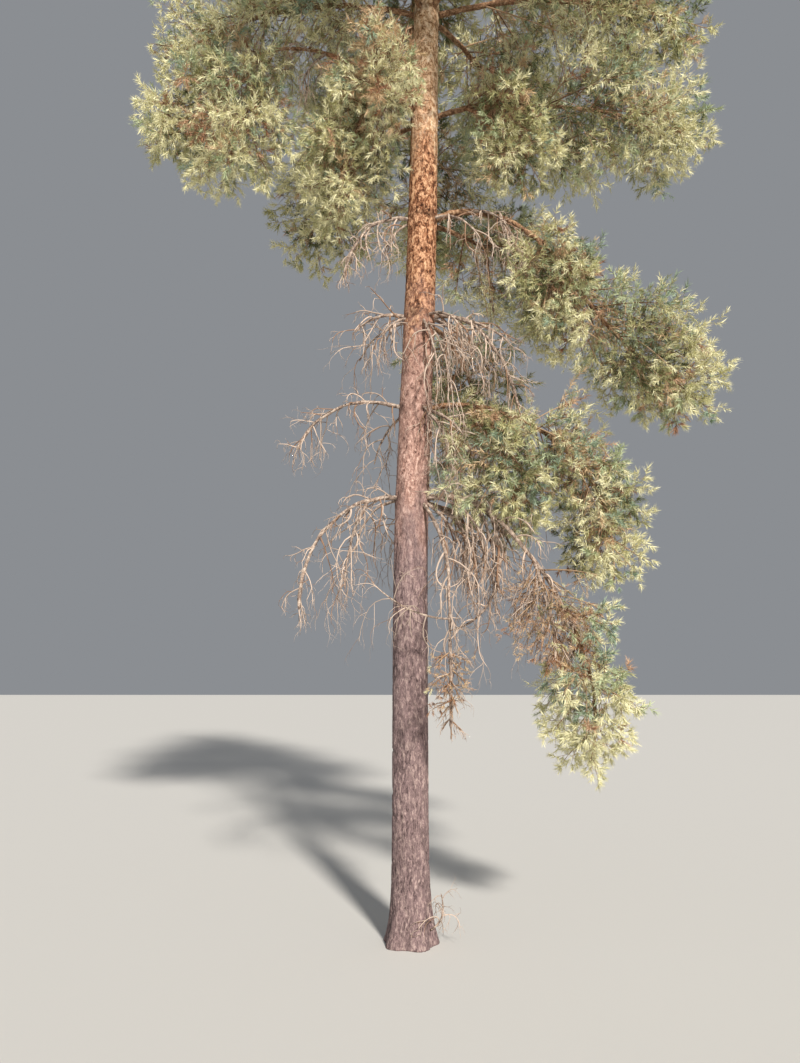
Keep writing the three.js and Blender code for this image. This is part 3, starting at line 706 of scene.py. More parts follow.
class Nodes:
    """Adds nodes to a material, and sets or links their inputs."""

    NOISE_ROUGHNESS = 0.62
    # The inputs of a colour Mix node, which Blender tells apart by number only
    MIX_SHARE, MIX_FIRST, MIX_SECOND, MIX_OUT = 0, 6, 7, 2

    def __init__(self, tree: bpy.types.NodeTree) -> None:
        """Keeps the material's nodes."""
        self.tree = tree

    def add(self, kind: str, inputs: dict[int | str, object], **settings: object) -> bpy.types.Node:
        """Adds one node.

        Args:
            kind: Blender's name for it.
            inputs: A value or a socket for each input that is set.
            settings: The node's own settings.

        Returns:
            The node.
        """
        node = self.tree.nodes.new(kind)
        for name, value in settings.items():
            setattr(node, name, value)
        for socket, value in inputs.items():
            if isinstance(value, Socket):
                self.tree.links.new(value, node.inputs[socket])
            else:
                node.inputs[socket].default_value = value
        return node

    def stretched(self, place: Socket, scale: Triple) -> Socket:
        """Scales the coordinates on each axis."""
        return self.add("ShaderNodeMapping", {"Vector": place, "Scale": scale}).outputs["Vector"]

    def noise(self, place: Socket, scale: Triple, detail: float) -> bpy.types.Node:
        """Adds fractal noise on stretched coordinates.

        Args:
            place: The coordinates.
            scale: Waves a metre on each axis.
            detail: How many finer noises are added to it.

        Returns:
            The noise's node.
        """
        inputs = {"Vector": self.stretched(place, scale), "Scale": 1.0, "Detail": detail}
        return self.add("ShaderNodeTexNoise", {**inputs, "Roughness": self.NOISE_ROUGHNESS})

    def sum(self, parts: Sequence[tuple[Socket, float]], shift: float) -> Socket:
        """Adds up weight * value over the parts, and a shift.

        Args:
            parts: The values, each with its weight.
            shift: What is added to them.

        Returns:
            The sum.
        """
        total: Socket | float = shift
        for value, weight in parts:
            inputs = {0: value, 1: weight, 2: total}
            total = self.add("ShaderNodeMath", inputs, operation="MULTIPLY_ADD").outputs[0]
        return total

    def plates(self, place: Socket, scale: Triple) -> Socket:
        """Splits space into cells, and gives each its own random level.

        Args:
            place: The coordinates.
            scale: Cells a metre on each axis.

        Returns:
            The level, from 0 to 1.
        """
        inputs = {"Vector": self.stretched(place, scale), "Scale": 1.0}
        cell = self.add("ShaderNodeTexVoronoi", inputs, feature="F1").outputs["Color"]
        return self.add("ShaderNodeSeparateColor", {0: cell}).outputs[0]

    def ramp(self, level: Socket, colours: Sequence[Triple], stops: Sequence[float]) -> Socket:
        """Adds a ramp of colours.

        Args:
            level: The value that it reads.
            colours: The colours.
            stops: The value at which each of them lies.

        Returns:
            The colour.
        """
        node = self.add("ShaderNodeValToRGB", {"Fac": level})
        elements = node.color_ramp.elements
        for stop in stops[1:-1]:
            elements.new(stop)
        for element, stop, colour in zip(elements, stops, colours):
            element.position = stop
            element.color = (*colour, 1)
        return node.outputs["Color"]

    def greys(self, level: Socket, greys: Sequence[float], stops: Sequence[float]) -> Socket:
        """Adds a ramp of greys, one at each stop."""
        return self.ramp(level, [(grey,) * 3 for grey in greys], stops)

    def mix(self, share: Socket | float, first: object, second: object, way: str = "MIX") -> Socket:
        """Mixes two colours by a share of the second, in one of Blender's ways."""
        inputs = {self.MIX_SHARE: share, self.MIX_FIRST: first, self.MIX_SECOND: second}
        return self.add("ShaderNodeMix", inputs, data_type="RGBA", blend_type=way).outputs[self.MIX_OUT]

    def step(self, value: Socket, span: Pair) -> Socket:
        """Rises smoothly from 0 to 1 over a span of values."""
        inputs = {"Value": value, "From Min": span[0], "From Max": span[1]}
        return self.add("ShaderNodeMapRange", inputs, interpolation_type="SMOOTHSTEP").outputs["Result"]

    def spread(self, value: Socket, low: float, high: float) -> Socket:
        """Gives low where the value is 0, and high where it is 1."""
        inputs = {"Value": value, "To Min": low, "To Max": high}
        return self.add("ShaderNodeMapRange", inputs).outputs["Result"]


@dataclass(frozen=True)
class Coat:
    """One kind of bark: its colours in cracks and on dull, plain and bright scales, and how large they are.

    The stops are the levels of the noise at which the four colours lie. The scales and the grain are so
    many a metre on each axis, and the edges of the scales are dark by the share that "edges" gives. The
    coat takes over between the two heights of start.
    """

    crack: Triple
    dull: Triple
    plain: Triple
    bright: Triple
    stops: tuple[float, float, float, float] = (0.26, 0.4, 0.54, 0.78)
    scales: Triple = (78.0, 78.0, 20.0)
    grain: Triple = (150.0, 150.0, 36.0)
    # The edges of the scales: dark cracks with painted shadow along them
    edges: float = 0.5
    start: Pair | None = None


@dataclass(frozen=True)
class Bark:
    """Scaly bark whose coats change up the limb.

    Broad patches of noise move the coats' borders up and down, stain the colours and break the edges of
    the scales. A finer noise wanders the coordinates by the metres of wander_reach. Weights and shifts
    are those of a sum of noises, and a ramp of greys has its levels and then the stops where they lie.
    """

    name: str
    coats: tuple[Coat, ...]
    stains: float = 0.4
    bump: float = 0.006
    shine: float = 0.2
    roughness: Pair = (0.95, 0.78)
    wander_scale: Triple = (20.0, 20.0, 12.0)
    wander_detail: float = 3.0
    wander_reach: Triple = (0.05, 0.05, 0.09)
    patch_scale: Triple = (7.0, 7.0, 2.4)
    patch_detail: float = 4.0
    border_weight: float = 1.4
    border_shift: float = -0.7
    stain_levels: tuple[Triple, Triple] = ((0.24, 0.5, 0.76), (0.32, 0.5, 0.7))
    relief_shade_levels: tuple[Triple, Triple] = ((0.2, 0.84, 1.0), (0.0, 0.42, 0.9))
    scale_detail: float = 5.0
    grain_detail: float = 4.0
    level_weights: Triple = (1.15, 0.8, 0.16)
    level_shift: float = -0.555
    edge_width: Pair = (0.0, 0.03)
    edge_patches: float = -1.6
    edge_shift: float = 0.9

    def material(self) -> bpy.types.Material:
        """Makes the nodes: each coat's colour and height by its place on the limb, with painted shade where
        the relief is low.

        Returns:
            The material.
        """
        material, shader = new_material(self.name, self.shine)
        nodes = Nodes(material.node_tree)
        place = nodes.add("ShaderNodeTexCoord", {}).outputs["Object"]
        wander = nodes.noise(place, self.wander_scale, self.wander_detail).outputs["Color"]
        inputs = {0: wander, 1: self.wander_reach, 2: place}
        warped = nodes.add("ShaderNodeVectorMath", inputs, operation="MULTIPLY_ADD").outputs[0]
        patches = nodes.noise(place, self.patch_scale, self.patch_detail).outputs[0]
        up = nodes.add("ShaderNodeSeparateXYZ", {0: place}).outputs["Z"]
        up = nodes.sum([(patches, self.border_weight), (up, 1.0)], self.border_shift)
        colour, height = None, None
        for coat in self.coats:
            tone, rise = self.coat(nodes, warped, patches, coat)
            if coat.start is None:
                colour, height = tone, rise
            else:
                share = nodes.step(up, coat.start)
                colour, height = nodes.mix(share, colour, tone), nodes.mix(share, height, rise)
        stain = nodes.greys(patches, *self.stain_levels)
        colour = nodes.mix(self.stains, colour, stain, "OVERLAY")
        # Painted shade: the colour is darkened where the relief is low, in the furrows, between the flakes
        # and in knot hollows
        relief = nodes.add("ShaderNodeAttribute", {}, attribute_name="relief").outputs["Fac"]
        shade = nodes.greys(relief, *self.relief_shade_levels)
        colour = nodes.mix(1.0, colour, shade, "MULTIPLY")
        material.node_tree.links.new(colour, shader.inputs["Base Color"])
        material.node_tree.links.new(nodes.spread(height, *self.roughness), shader.inputs["Roughness"])
        bump = nodes.add("ShaderNodeBump", {"Height": height, "Distance": self.bump, "Strength": 1.0})
        material.node_tree.links.new(bump.outputs["Normal"], shader.inputs["Normal"])
        return material

    def coat(self, nodes: Nodes, place: Socket, patches: Socket, coat: Coat) -> tuple[Socket, Socket]:
        """Colours one coat by a level of noise, with dark broken edges, cracks with painted shadow, where the
        noise passes its middle.

        Args:
            nodes: The material's nodes.
            place: The coordinates.
            patches: The broad noise, which breaks the edges.
            coat: The coat.

        Returns:
            The colour, and the height for the bump.
        """
        scaly = nodes.noise(place, coat.scales, self.scale_detail).outputs[0]
        cells = nodes.plates(place, coat.scales)
        grain = nodes.noise(place, coat.grain, self.grain_detail).outputs[0]
        level = nodes.sum(list(zip((scaly, grain, cells), self.level_weights)), self.level_shift)
        colour = nodes.ramp(level, (coat.crack, coat.dull, coat.plain, coat.bright), coat.stops)
        # Painted shadow: dark cracks along the scales' edges, broken by the patches
        off_middle = nodes.sum([(scaly, 1.0)], -0.5)
        middle = nodes.add("ShaderNodeMath", {0: off_middle}, operation="ABSOLUTE").outputs[0]
        parts = [(nodes.step(middle, self.edge_width), 1.0), (patches, self.edge_patches)]
        edge = nodes.sum(parts, self.edge_shift)
        return nodes.mix(nodes.spread(edge, coat.edges, 0.0), colour, (*coat.crack, 1)), level


TRUNK_BARK = Bark(
    "furrowed_trunk_bark",
    (
        Coat(
            (0.085, 0.055, 0.057),
            (0.185, 0.127, 0.127),
            (0.275, 0.19, 0.187),
            (0.46, 0.345, 0.315),
        ),
        Coat(
            (0.11, 0.055, 0.045),
            (0.27, 0.155, 0.125),
            (0.45, 0.265, 0.215),
            (0.72, 0.50, 0.42),
            stops=(0.24, 0.35, 0.5, 0.78),
            scales=(54.0, 54.0, 30.0),
            grain=(120.0, 120.0, 70.0),
            edges=0.45,
            start=(2.2, 3.0),
        ),
        Coat(
            (0.05, 0.018, 0.009),
            (0.22, 0.085, 0.04),
            (0.43, 0.195, 0.10),
            (0.80, 0.50, 0.30),
            stops=(0.33, 0.43, 0.5, 0.74),
            scales=(44.0, 44.0, 25.0),
            grain=(110.0, 110.0, 80.0),
            edges=0.75,
            start=(3.3, 4.2),
        ),
        # Top coat: the paler tan bark high up, partly its own colour and partly painted light that lifts it
        # where the crown's shade falls
        Coat(
            (0.20, 0.10, 0.045),
            (0.48, 0.29, 0.16),
            (0.76, 0.51, 0.32),
            (0.94, 0.76, 0.56),
            stops=(0.28, 0.4, 0.5, 0.74),
            scales=(44.0, 44.0, 26.0),
            grain=(110.0, 110.0, 80.0),
            edges=0.55,
            start=(4.9, 5.8),
        ),
    ),
)
LIVE_BARK = Bark(
    "flaking_bough_bark",
    (
        Coat(
            (0.07, 0.035, 0.02),
            (0.21, 0.11, 0.065),
            (0.37, 0.21, 0.115),
            (0.58, 0.40, 0.26),
            scales=(50.0, 50.0, 50.0),
            grain=(130.0, 130.0, 130.0),
        ),
    ),
    bump=0.003,
)
DEAD_BARK = Bark(
    "weathered_dead_wood",
    (
        Coat(
            (0.12, 0.08, 0.06),
            (0.28, 0.20, 0.16),
            (0.47, 0.365, 0.295),
            (0.66, 0.55, 0.46),
            scales=(40.0, 40.0, 40.0),
            grain=(120.0, 120.0, 120.0),
        ),
    ),
    bump=0.003,
)
LIVE_TWIGS = (
    Plain("twig_tan", (0.46, 0.31, 0.19), 0.8),
    Plain("twig_brown", (0.22, 0.125, 0.07), 0.8),
)
DEAD_TWIGS = (
    Plain("dead_twig_pale", (0.62, 0.49, 0.40), 0.85),
    Plain("dead_twig_grey", (0.42, 0.33, 0.27), 0.85),
    Plain("dead_twig_brown", (0.30, 0.18, 0.115), 0.85),
)
# Needle greens: sunlit is painted light and deep green is painted shade. They are dealt with yellow-green and
# olive from bright at a mass's skin to dark deep inside.
GREEN = (
    Plain("needles_sunlit", (0.80, 0.77, 0.50)),
    Plain("needles_yellow_green", (0.62, 0.60, 0.33)),
    Plain("needles_olive", (0.43, 0.42, 0.21)),
    Plain("needles_grey_green", (0.48, 0.54, 0.33)),
    Plain("needles_blue_green", (0.33, 0.42, 0.30)),
    Plain("needles_deep_green", (0.14, 0.16, 0.07)),
)
DRY = (
    Plain("needles_straw", (0.66, 0.49, 0.30)),
    Plain("needles_tan", (0.56, 0.36, 0.23)),
    Plain("needles_rust", (0.35, 0.18, 0.10)),
)


# The trunk


@dataclass(frozen=True)
class Knot:
    """The scar of a lost limb: its height, its turn and its size, for a hollow inside a raised rim.

    At the share d of the scar's half sizes, the rim stands as rim * exp(-(d - 1)^2 rim_power), and the
    hollow falls by hollow * exp(-d^2 hollow_power).
    """

    height: float
    turn: float
    size: float
    half_wide: float = 0.022
    half_high: float = 0.026
    rim: float = 0.007
    rim_power: float = 5
    hollow: float = 0.006
    hollow_power: float = 4
    dark: float = 0.8
    dark_power: float = 2.2

    def away(self, u: np.ndarray, z: np.ndarray, diameter: float) -> np.ndarray:
        """Measures how far places on the bark are from the knot.

        Args:
            u: Places round the trunk, from 0 to 1.
            z: Heights.
            diameter: How thick the trunk is.

        Returns:
            The distances, in half sizes of the scar.
        """
        around = (np.mod(u - self.turn / 360 + 0.5, 1) - 0.5) * math.pi * diameter
        return np.hypot(around / self.half_wide, (z - self.height) / self.half_high) / self.size

    def heights(self, away: np.ndarray) -> tuple[np.ndarray, np.ndarray]:
        """Gives how far the rim stands out, and how deep the hollow is."""
        rim = self.rim * np.exp(-((away - 1) ** 2) * self.rim_power)
        return rim, self.hollow * np.exp(-(away**2) * self.hollow_power)

    def shade(self, away: np.ndarray) -> np.ndarray:
        """Gives the share of the bark's level that is left, which is least in the hollow: the scar's own dark
        wood and painted shade in the hollow.
        """
        return 1 - self.dark * np.exp(-(away**2) * self.dark_power)


@dataclass
class Trunk:
    """The trunk: a taper with knots at the whorls, a lobed root flare, a lean and a slight sweep."""

    height: float = 9.95
    tree_height: float = 11.25
    diameter: float = 0.218
    taper_bend: float = 2.6
    taper_power: float = 0.9
    flare: float = 0.05
    flare_height: float = 0.16
    flare_lobes: int = 5
    flare_lobe_depth: float = 0.3
    knot_swell: float = 0.004
    knot_spread: float = 0.07
    lean_start: float = 2.3
    lean_slope: float = 0.033
    lean_ease: float = 0.5
    sweep: float = 0.016
    sweep_length: float = 4.1
    whorls: tuple[float, ...] = (2.665, 3.27, 3.91, 4.63, 5.42, 6.26, 7.02, 7.7, 8.34, 8.92, 9.45)
    sides: int = 88
    shown_height: float = 6.6
    shown_rings: int = 800
    hidden_rings: int = 150
    # The bark: noises that bend the furrows, the furrows and flakes themselves, and how deep they are
    bends: tuple[tuple[float, Grain], ...] = ((0.05, Grain(0.16, 9, 11)), (0.016, Grain(0.045, 30, 12)))
    long_furrows: Grain = Grain(0.13, 24, 1, 0.24)
    short_furrows: Grain = Grain(0.045, 40, 2, 0.26, 0.7)
    flake_edges: Grain = Grain(0.03, 30, 3, 0.3)
    flake_steps: Grain = Grain(0.032, 26, 4)
    flake_layers: int = 3
    flake_shares: Pair = (0.55, 0.45)
    fine: Grain = Grain(0.012, 88, 5)
    fine_depth: float = 0.0012
    fine_share: float = 0.15
    furrow_depth: float = 0.007
    furrow_rest: float = 0.75
    furrow_floor: float = 0.3
    flake_depth: float = 0.0045
    flake_rest: float = 0.6
    flake_floor: float = 0.2
    flakes_from: Pair = (2.2, 3.9)
    border: Grain = Grain(0.4, 6, 6)
    border_reach: float = 0.9
    collar: Grain = Grain(0.05, 7, 20)
    collar_half: float = 0.06
    collar_span: Pair = (0.2, 0.7)
    collar_dark_and_shade: float = 0.8
    knots: tuple[Knot, ...] = (
        Knot(1.94, 262, 1.0),
        Knot(2.05, 285, 0.8),
        Knot(1.2, 300, 0.7),
        Knot(0.72, 238, 0.9),
        Knot(2.42, 250, 0.8),
        Knot(2.67, 302, 1.5),
        Knot(3.25, 296, 1.3),
        Knot(3.9, 306, 1.9),
        Knot(3.97, 262, 1.2),
        Knot(4.62, 292, 1.4),
    )

    def middle(self, height: np.ndarray | float) -> np.ndarray:
        """Gives the trunk's middle: straight, then leaning right, with a bow of sweep * sin^2.

        Args:
            height: Heights z.

        Returns:
            The points, with the three coordinates on the last axis.
        """
        z = np.asarray(height, float)
        above = z - self.lean_start
        eased = (above + np.hypot(above, self.lean_ease)) / 2
        foot = (math.hypot(self.lean_start, self.lean_ease) - self.lean_start) / 2
        on_bow = (above > 0) & (above < self.sweep_length)
        bow = np.where(on_bow, np.sin(np.pi * above / self.sweep_length) ** 2, 0)
        return np.stack([self.lean_slope * (eased - foot) + self.sweep * bow, np.zeros_like(z), z], axis=-1)

    def stem_radius(self, height: np.ndarray | float) -> np.ndarray:
        """Gives half the diameter times (1 - (z / tree height)^bend)^power, plus a swelling at each whorl.

        Args:
            height: Heights z.

        Returns:
            The radii, without the flare.
        """
        z = np.asarray(height, float)
        whorls = np.array(self.whorls)
        swell = np.exp(-(((z[..., None] - whorls) / self.knot_spread) ** 2)).sum(-1)
        taper = np.maximum(1 - (z / self.tree_height) ** self.taper_bend, 0) ** self.taper_power
        return (self.diameter / 2) * taper + self.knot_swell * swell * taper

    def radius(self, height: np.ndarray, angle: np.ndarray) -> np.ndarray:
        """Adds the lobed flare, which fades with height as exp(-z / flare height), to the stem's radius."""
        lobe = 1 + self.flare_lobe_depth * np.sin(self.flare_lobes * angle + 1)
        return self.stem_radius(height) + self.flare * lobe * np.exp(-height / self.flare_height)

    def relief(self, z: np.ndarray, u: np.ndarray) -> tuple[np.ndarray, np.ndarray]:
        """Works out the bark: long upright furrows low down, and small flakes higher up.

        A noise moves the border between the two up and down. Each whorl has a dark broken collar, partly the
        bark's own dark band and partly painted shade round the whorl.

        Args:
            z: Heights.
            u: Places round the trunk, from 0 to 1.

        Returns:
            How far the bark stands proud of the trunk's radius, and its level from 0 in a furrow to 1, which
            the bark material turns into painted shade.
        """
        (broad, slow), (narrow, quick) = self.bends
        bend = broad * slow.wave(u, z) + narrow * quick.wave(u, z)
        plates = self.long_furrows.plates(u + bend, z) * (0.5 + 0.5 * self.short_furrows.plates(u + bend, z))
        layers = self.flake_layers
        steps = np.round(layers * self.flake_steps.level(u + 0.5 * bend, z)) / layers
        flakes = self.flake_shares[0] * steps + self.flake_shares[1] * self.flake_edges.plates(u + bend, z)
        fine = self.fine.level(u, z)
        upper = ease(z + self.border_reach * self.border.wave(u, z), *self.flakes_from)
        low_level = self.furrow_floor + (1 - self.furrow_floor) * plates
        high_level = self.flake_floor + (1 - self.flake_floor) * flakes
        level = (1 - upper) * low_level + upper * high_level
        low_proud = (1 - upper) * self.furrow_depth * (plates - self.furrow_rest)
        proud = low_proud + upper * self.flake_depth * (flakes - self.flake_rest)
        # Dark broken collars at the whorls: the bark's own dark band and painted shade
        for i, whorl in enumerate(self.whorls):
            broken = ease(self.collar.level(u, z, i), *self.collar_span)
            near = np.exp(-(((z - whorl) / self.collar_half) ** 2)) * broken
            level = level * (1 - self.collar_dark_and_shade * near)
        for knot in self.knots:
            away = knot.away(u, z, self.diameter)
            rim, hollow = knot.heights(away)
            proud = proud + rim - hollow
            level = level * knot.shade(away)
        level = (1 - self.fine_share) * level + self.fine_share * fine
        return proud + self.fine_depth * (fine - 0.5), np.clip(level, 0, 1)

    def surface(self) -> Surface:
        """Builds the trunk: rings of radius(z, angle) + relief about the middle, closed by two caps.

        Returns:
            The surface with its relief.
        """
        shown = np.linspace(0, self.shown_height, self.shown_rings, endpoint=False)
        z = np.concatenate([shown, np.linspace(self.shown_height, self.height, self.hidden_rings)])
        z2, u2 = np.meshgrid(z, np.arange(self.sides) / self.sides, indexing="ij")
        proud, level = self.relief(z2, u2)
        radius = self.radius(z2, u2 * 2 * np.pi) + proud
        points = self.middle(z2) + radius[..., None] * heading(u2 * 360, np.zeros_like(u2))
        points[..., 2] = z2
        # The level goes in as the relief, which the bark material turns into painted shade
        return capped(points, level)

    def clear(self, points: np.ndarray, gap: float = 0.012) -> np.ndarray:
        """Tells which points lie outside the trunk by more than a gap.

        Args:
            points: The points.
            gap: The gap.

        Returns:
            True for each point that does.
        """
        z = np.clip(points[..., 2], 0, self.height)
        away = np.linalg.norm((points - self.middle(z))[..., :2], axis=-1)
        return (away > self.stem_radius(z) + gap) | (points[..., 2] > self.height)


# The limbs


@dataclass
class Space:
    """An egg-shaped space: its middle, its three axes and its half sizes along them."""

    middle: np.ndarray
    axes: np.ndarray
    halves: np.ndarray

    def local(self, v: np.ndarray) -> np.ndarray:
        """Measures vectors along the axes, in half sizes."""
        return (v @ self.axes.T) / self.halves

    def depth(self, points: np.ndarray) -> np.ndarray:
        """Tells how far out points lie: 0 at the middle, 1 on the skin."""
        return np.linalg.norm(self.local(points - self.middle), axis=-1)

    def room(self, points: np.ndarray, ways: np.ndarray) -> np.ndarray:
        """Gives the distance to the skin: the larger root t of |p + t d| = 1, or 0 where there is none.

        Args:
            points: Where the lines start.
            ways: Their unit directions.

        Returns:
            The distances.
        """
        p, d = self.local(points - self.middle), self.local(ways)
        a, b, c = (d * d).sum(-1), (p * d).sum(-1), (p * p).sum(-1) - 1
        inside = b * b - a * c
        return np.where(inside > 0, np.maximum((-b + np.sqrt(np.maximum(inside, 0))) / a, 0), 0)

    def face(self) -> float:
        """Gives the mean area that the space shows to a side."""
        a, b, c = self.halves
        return math.pi * (a * b + b * c + c * a) / 3


@dataclass
class Skeleton:
    """The boughs, the stems of the masses and their spaces, by the same rule as the solids."""

    trunk: Trunk
    seat_gap: float = 0.0003
    seat_depth: float = 0.5
    leader_drop: float = 0.02
    bough_step: float = 0.13
    fewest_steps: int = 3
    finer: int = 4
    stem_steps: int = 16
    stem_tip: float = 0.01
    stem_slenderness: float = 160.0
    leader_share: float = 0.9
    space_beyond: float = 0.6
    boughs: dict[str, Strands] = field(default_factory=dict)
    stems: list[Strands] = field(default_factory=list)
    spaces: list[Space] = field(default_factory=list)

    def __post_init__(self) -> None:
        """Lays the boughs out in order, then the masses."""
        for bough in (*BOUGHS, *SNAGS):
            start, turn, rise = self.seat(bough)
            steps = self.finer * max(self.fewest_steps, round(bough.reach / self.bough_step))
            self.boughs[bough.name] = Strands.one(start, turn, rise, bough, bough.base, bough.tip, steps)
        for mass in MASSES:
            stem = self.stem(mass)
            self.stems.append(stem)
            self.spaces.append(self.space(mass, stem))

    def seat(self, limb: Bough | Mass) -> tuple[np.ndarray, float, float]:
        """Finds where a limb starts.

        Args:
            limb: A row of the plan.

        Returns:
            Its start, its first turn and its first rise.
        """
        trunk = self.trunk
        if limb.on == 0:
            return trunk.middle(trunk.height - self.leader_drop), 0.0, limb.rise
        if isinstance(limb, Bough) and limb.height is not None:
            out = heading(limb.turn, 0) * (trunk.stem_radius(limb.height) + trunk.flare * self.seat_depth)
            return trunk.middle(limb.height) + out, limb.turn, limb.rise
        if isinstance(limb.on, int):
            height = trunk.whorls[limb.on - 1]
            out = heading(limb.turn, 0) * trunk.stem_radius(height) * self.seat_depth
            return trunk.middle(height) + out, limb.turn, limb.rise
        carrier = self.boughs[limb.on]
        share = 1.0 if limb.along is None else limb.along
        point, way, _ = carrier.at(np.array([[share]]))
        if limb.along is not None:
            return point[0, 0], limb.turn, limb.rise
        turn, rise = float(carrier.turn[0] + carrier.swing[0]), float(carrier.rise[0] - carrier.sag[0])
        return point[0, 0] + way[0, 0] * self.seat_gap, turn, rise

    def stem(self, mass: Mass) -> Strands:
        """Gives a mass's stem, as thick at its base as what carries it calls for.

        Args:
            mass: The mass.

        Returns:
            The stem, as strands with one row.
        """
        start, turn, rise = self.seat(mass)
        if isinstance(mass.on, str):
            base = max(float(self.boughs[mass.on].tip[0]), self.stem_tip)
        elif mass.on == 0:
            base = float(self.trunk.stem_radius(self.trunk.height)) * self.leader_share
        else:
            base = self.stem_tip + mass.reach / self.stem_slenderness
        return Strands.one(start, turn, rise, mass, base, self.stem_tip, self.stem_steps)

    def space(self, mass: Mass, stem: Strands) -> Space:
        """Gives the egg round the leafy stretch of a stem, level side to side.

        Args:
            mass: The mass.
            stem: Its stem.

        Returns:
            The space.
        """
        ends, _, _ = stem.at(np.array([[mass.bare, 1.0]]))
        long = ends[0, 1] - ends[0, 0]
        half = float(np.linalg.norm(long)) / 2 + mass.deep * self.space_beyond
        long = unit(long)
        level = heading(float(stem.turn[0] + stem.swing[0]) + 90, 0)
        level = unit(level - long * float(level @ long))
        axes = np.stack([long, level, np.cross(long, level)])
        return Space(ends[0].mean(axis=0), axes, np.array([half, mass.wide, mass.deep]))

    def depths(self, points: np.ndarray) -> np.ndarray:
        """Tells how far out points are in every space, one row a point."""
        return np.stack([space.depth(points) for space in self.spaces], axis=-1)

    def own(self, points: np.ndarray, owner: np.ndarray, furthest: float) -> np.ndarray:
        """Tells which points lie in their own masses' spaces, and no deeper in others'.

        Args:
            points: The points.
            owner: The number of each point's mass.
            furthest: How far out a point may be, where 1 is the skin.

        Returns:
            True for each point that does.
        """
        depths = self.depths(points)
        mine = np.take_along_axis(depths, owner[:, None], axis=1)[:, 0]
        np.put_along_axis(depths, owner[:, None], np.inf, axis=1)
        return (mine <= furthest) & (depths.min(axis=1) >= mine)


@dataclass
class LimbBark:
    """Boughs and stems as tubes with bark relief, closed at both ends."""

    sides: int = 18
    ring_gap: float = 0.011
    fewest_rings: int = 8
    relief_share: float = 0.22
    relief_rest: float = 0.6
    crook: float = 0.005
    wander_across: Grain = Grain(0.13, 1, 1)
    wander_upright: Grain = Grain(0.11, 1, 2)
    furrows: Grain = Grain(0.05, 6, 3, 0.4)
    flecks: Grain = Grain(0.014, 9, 4)
    furrow_share: float = 0.6
    collars: Pair = (0.6 / 2.3, 1.6 / 2.3)
    collar_swell: float = 0.22
    collar_half: float = 0.014
    end_share: float = 0.25

    def tube(self, limb: Strands, seed: int, pointed: bool, plain: bool = False) -> Surface:
        """Carries a ring with relief along one limb.

        The radius is r (1 + share (plates - rest)), and the middle wanders by a few millimetres of noise
        that fades at both ends. Two round collars mark old side twigs.

        Args:
            limb: The limb, as strands with one row.
            seed: Names its noise.
            pointed: True if the end narrows to a blunt point.
            plain: True for a limb deep in the crown, with fewer rings.

        Returns:
            The surface with its relief.
        """
        rings = max(self.fewest_rings, int(float(limb.reach[0]) / self.ring_gap / (2 if plain else 1)))
        share = np.linspace(0, 1, rings)
        point, way, radius = (x[0] for x in limb.at(share[None, :]))
        turn = limb.turn[0] + limb.swing[0] * share + 90
        across = heading(turn, np.zeros_like(turn))
        third = np.cross(across, way)
        length = share * float(limb.reach[0])
        fade = np.sin(np.pi * share) ** 0.5 * self.crook
        for side, wander in ((across, self.wander_across), (third, self.wander_upright)):
            point = point + side * (fade * 2 * wander.wave(np.zeros_like(length), length, seed))[:, None]
        v, u = np.meshgrid(length, np.arange(self.sides) / self.sides, indexing="ij")
        flecks = (1 - self.furrow_share) * self.flecks.level(u, v, seed)
        plates = self.furrow_share * self.furrows.plates(u, v, seed) + flecks
        thick = radius[:, None] * (1 + self.relief_share * (plates - self.relief_rest))
        for collar in self.collars:
            away = (v - collar * length[-1]) / self.collar_half
            thick = thick * (1 + self.collar_swell * np.exp(-(away**2)))
        if pointed:
            thick[-1] *= self.end_share
        angle = (u * 2 * np.pi)[..., None]
        circle = across[:, None] * np.cos(angle) - third[:, None] * np.sin(angle)
        # The plates also go in as the relief, which the bark material turns into painted shade in the furrows
        return capped(point[:, None] + circle * thick[..., None], plates)


# Twigs and needles


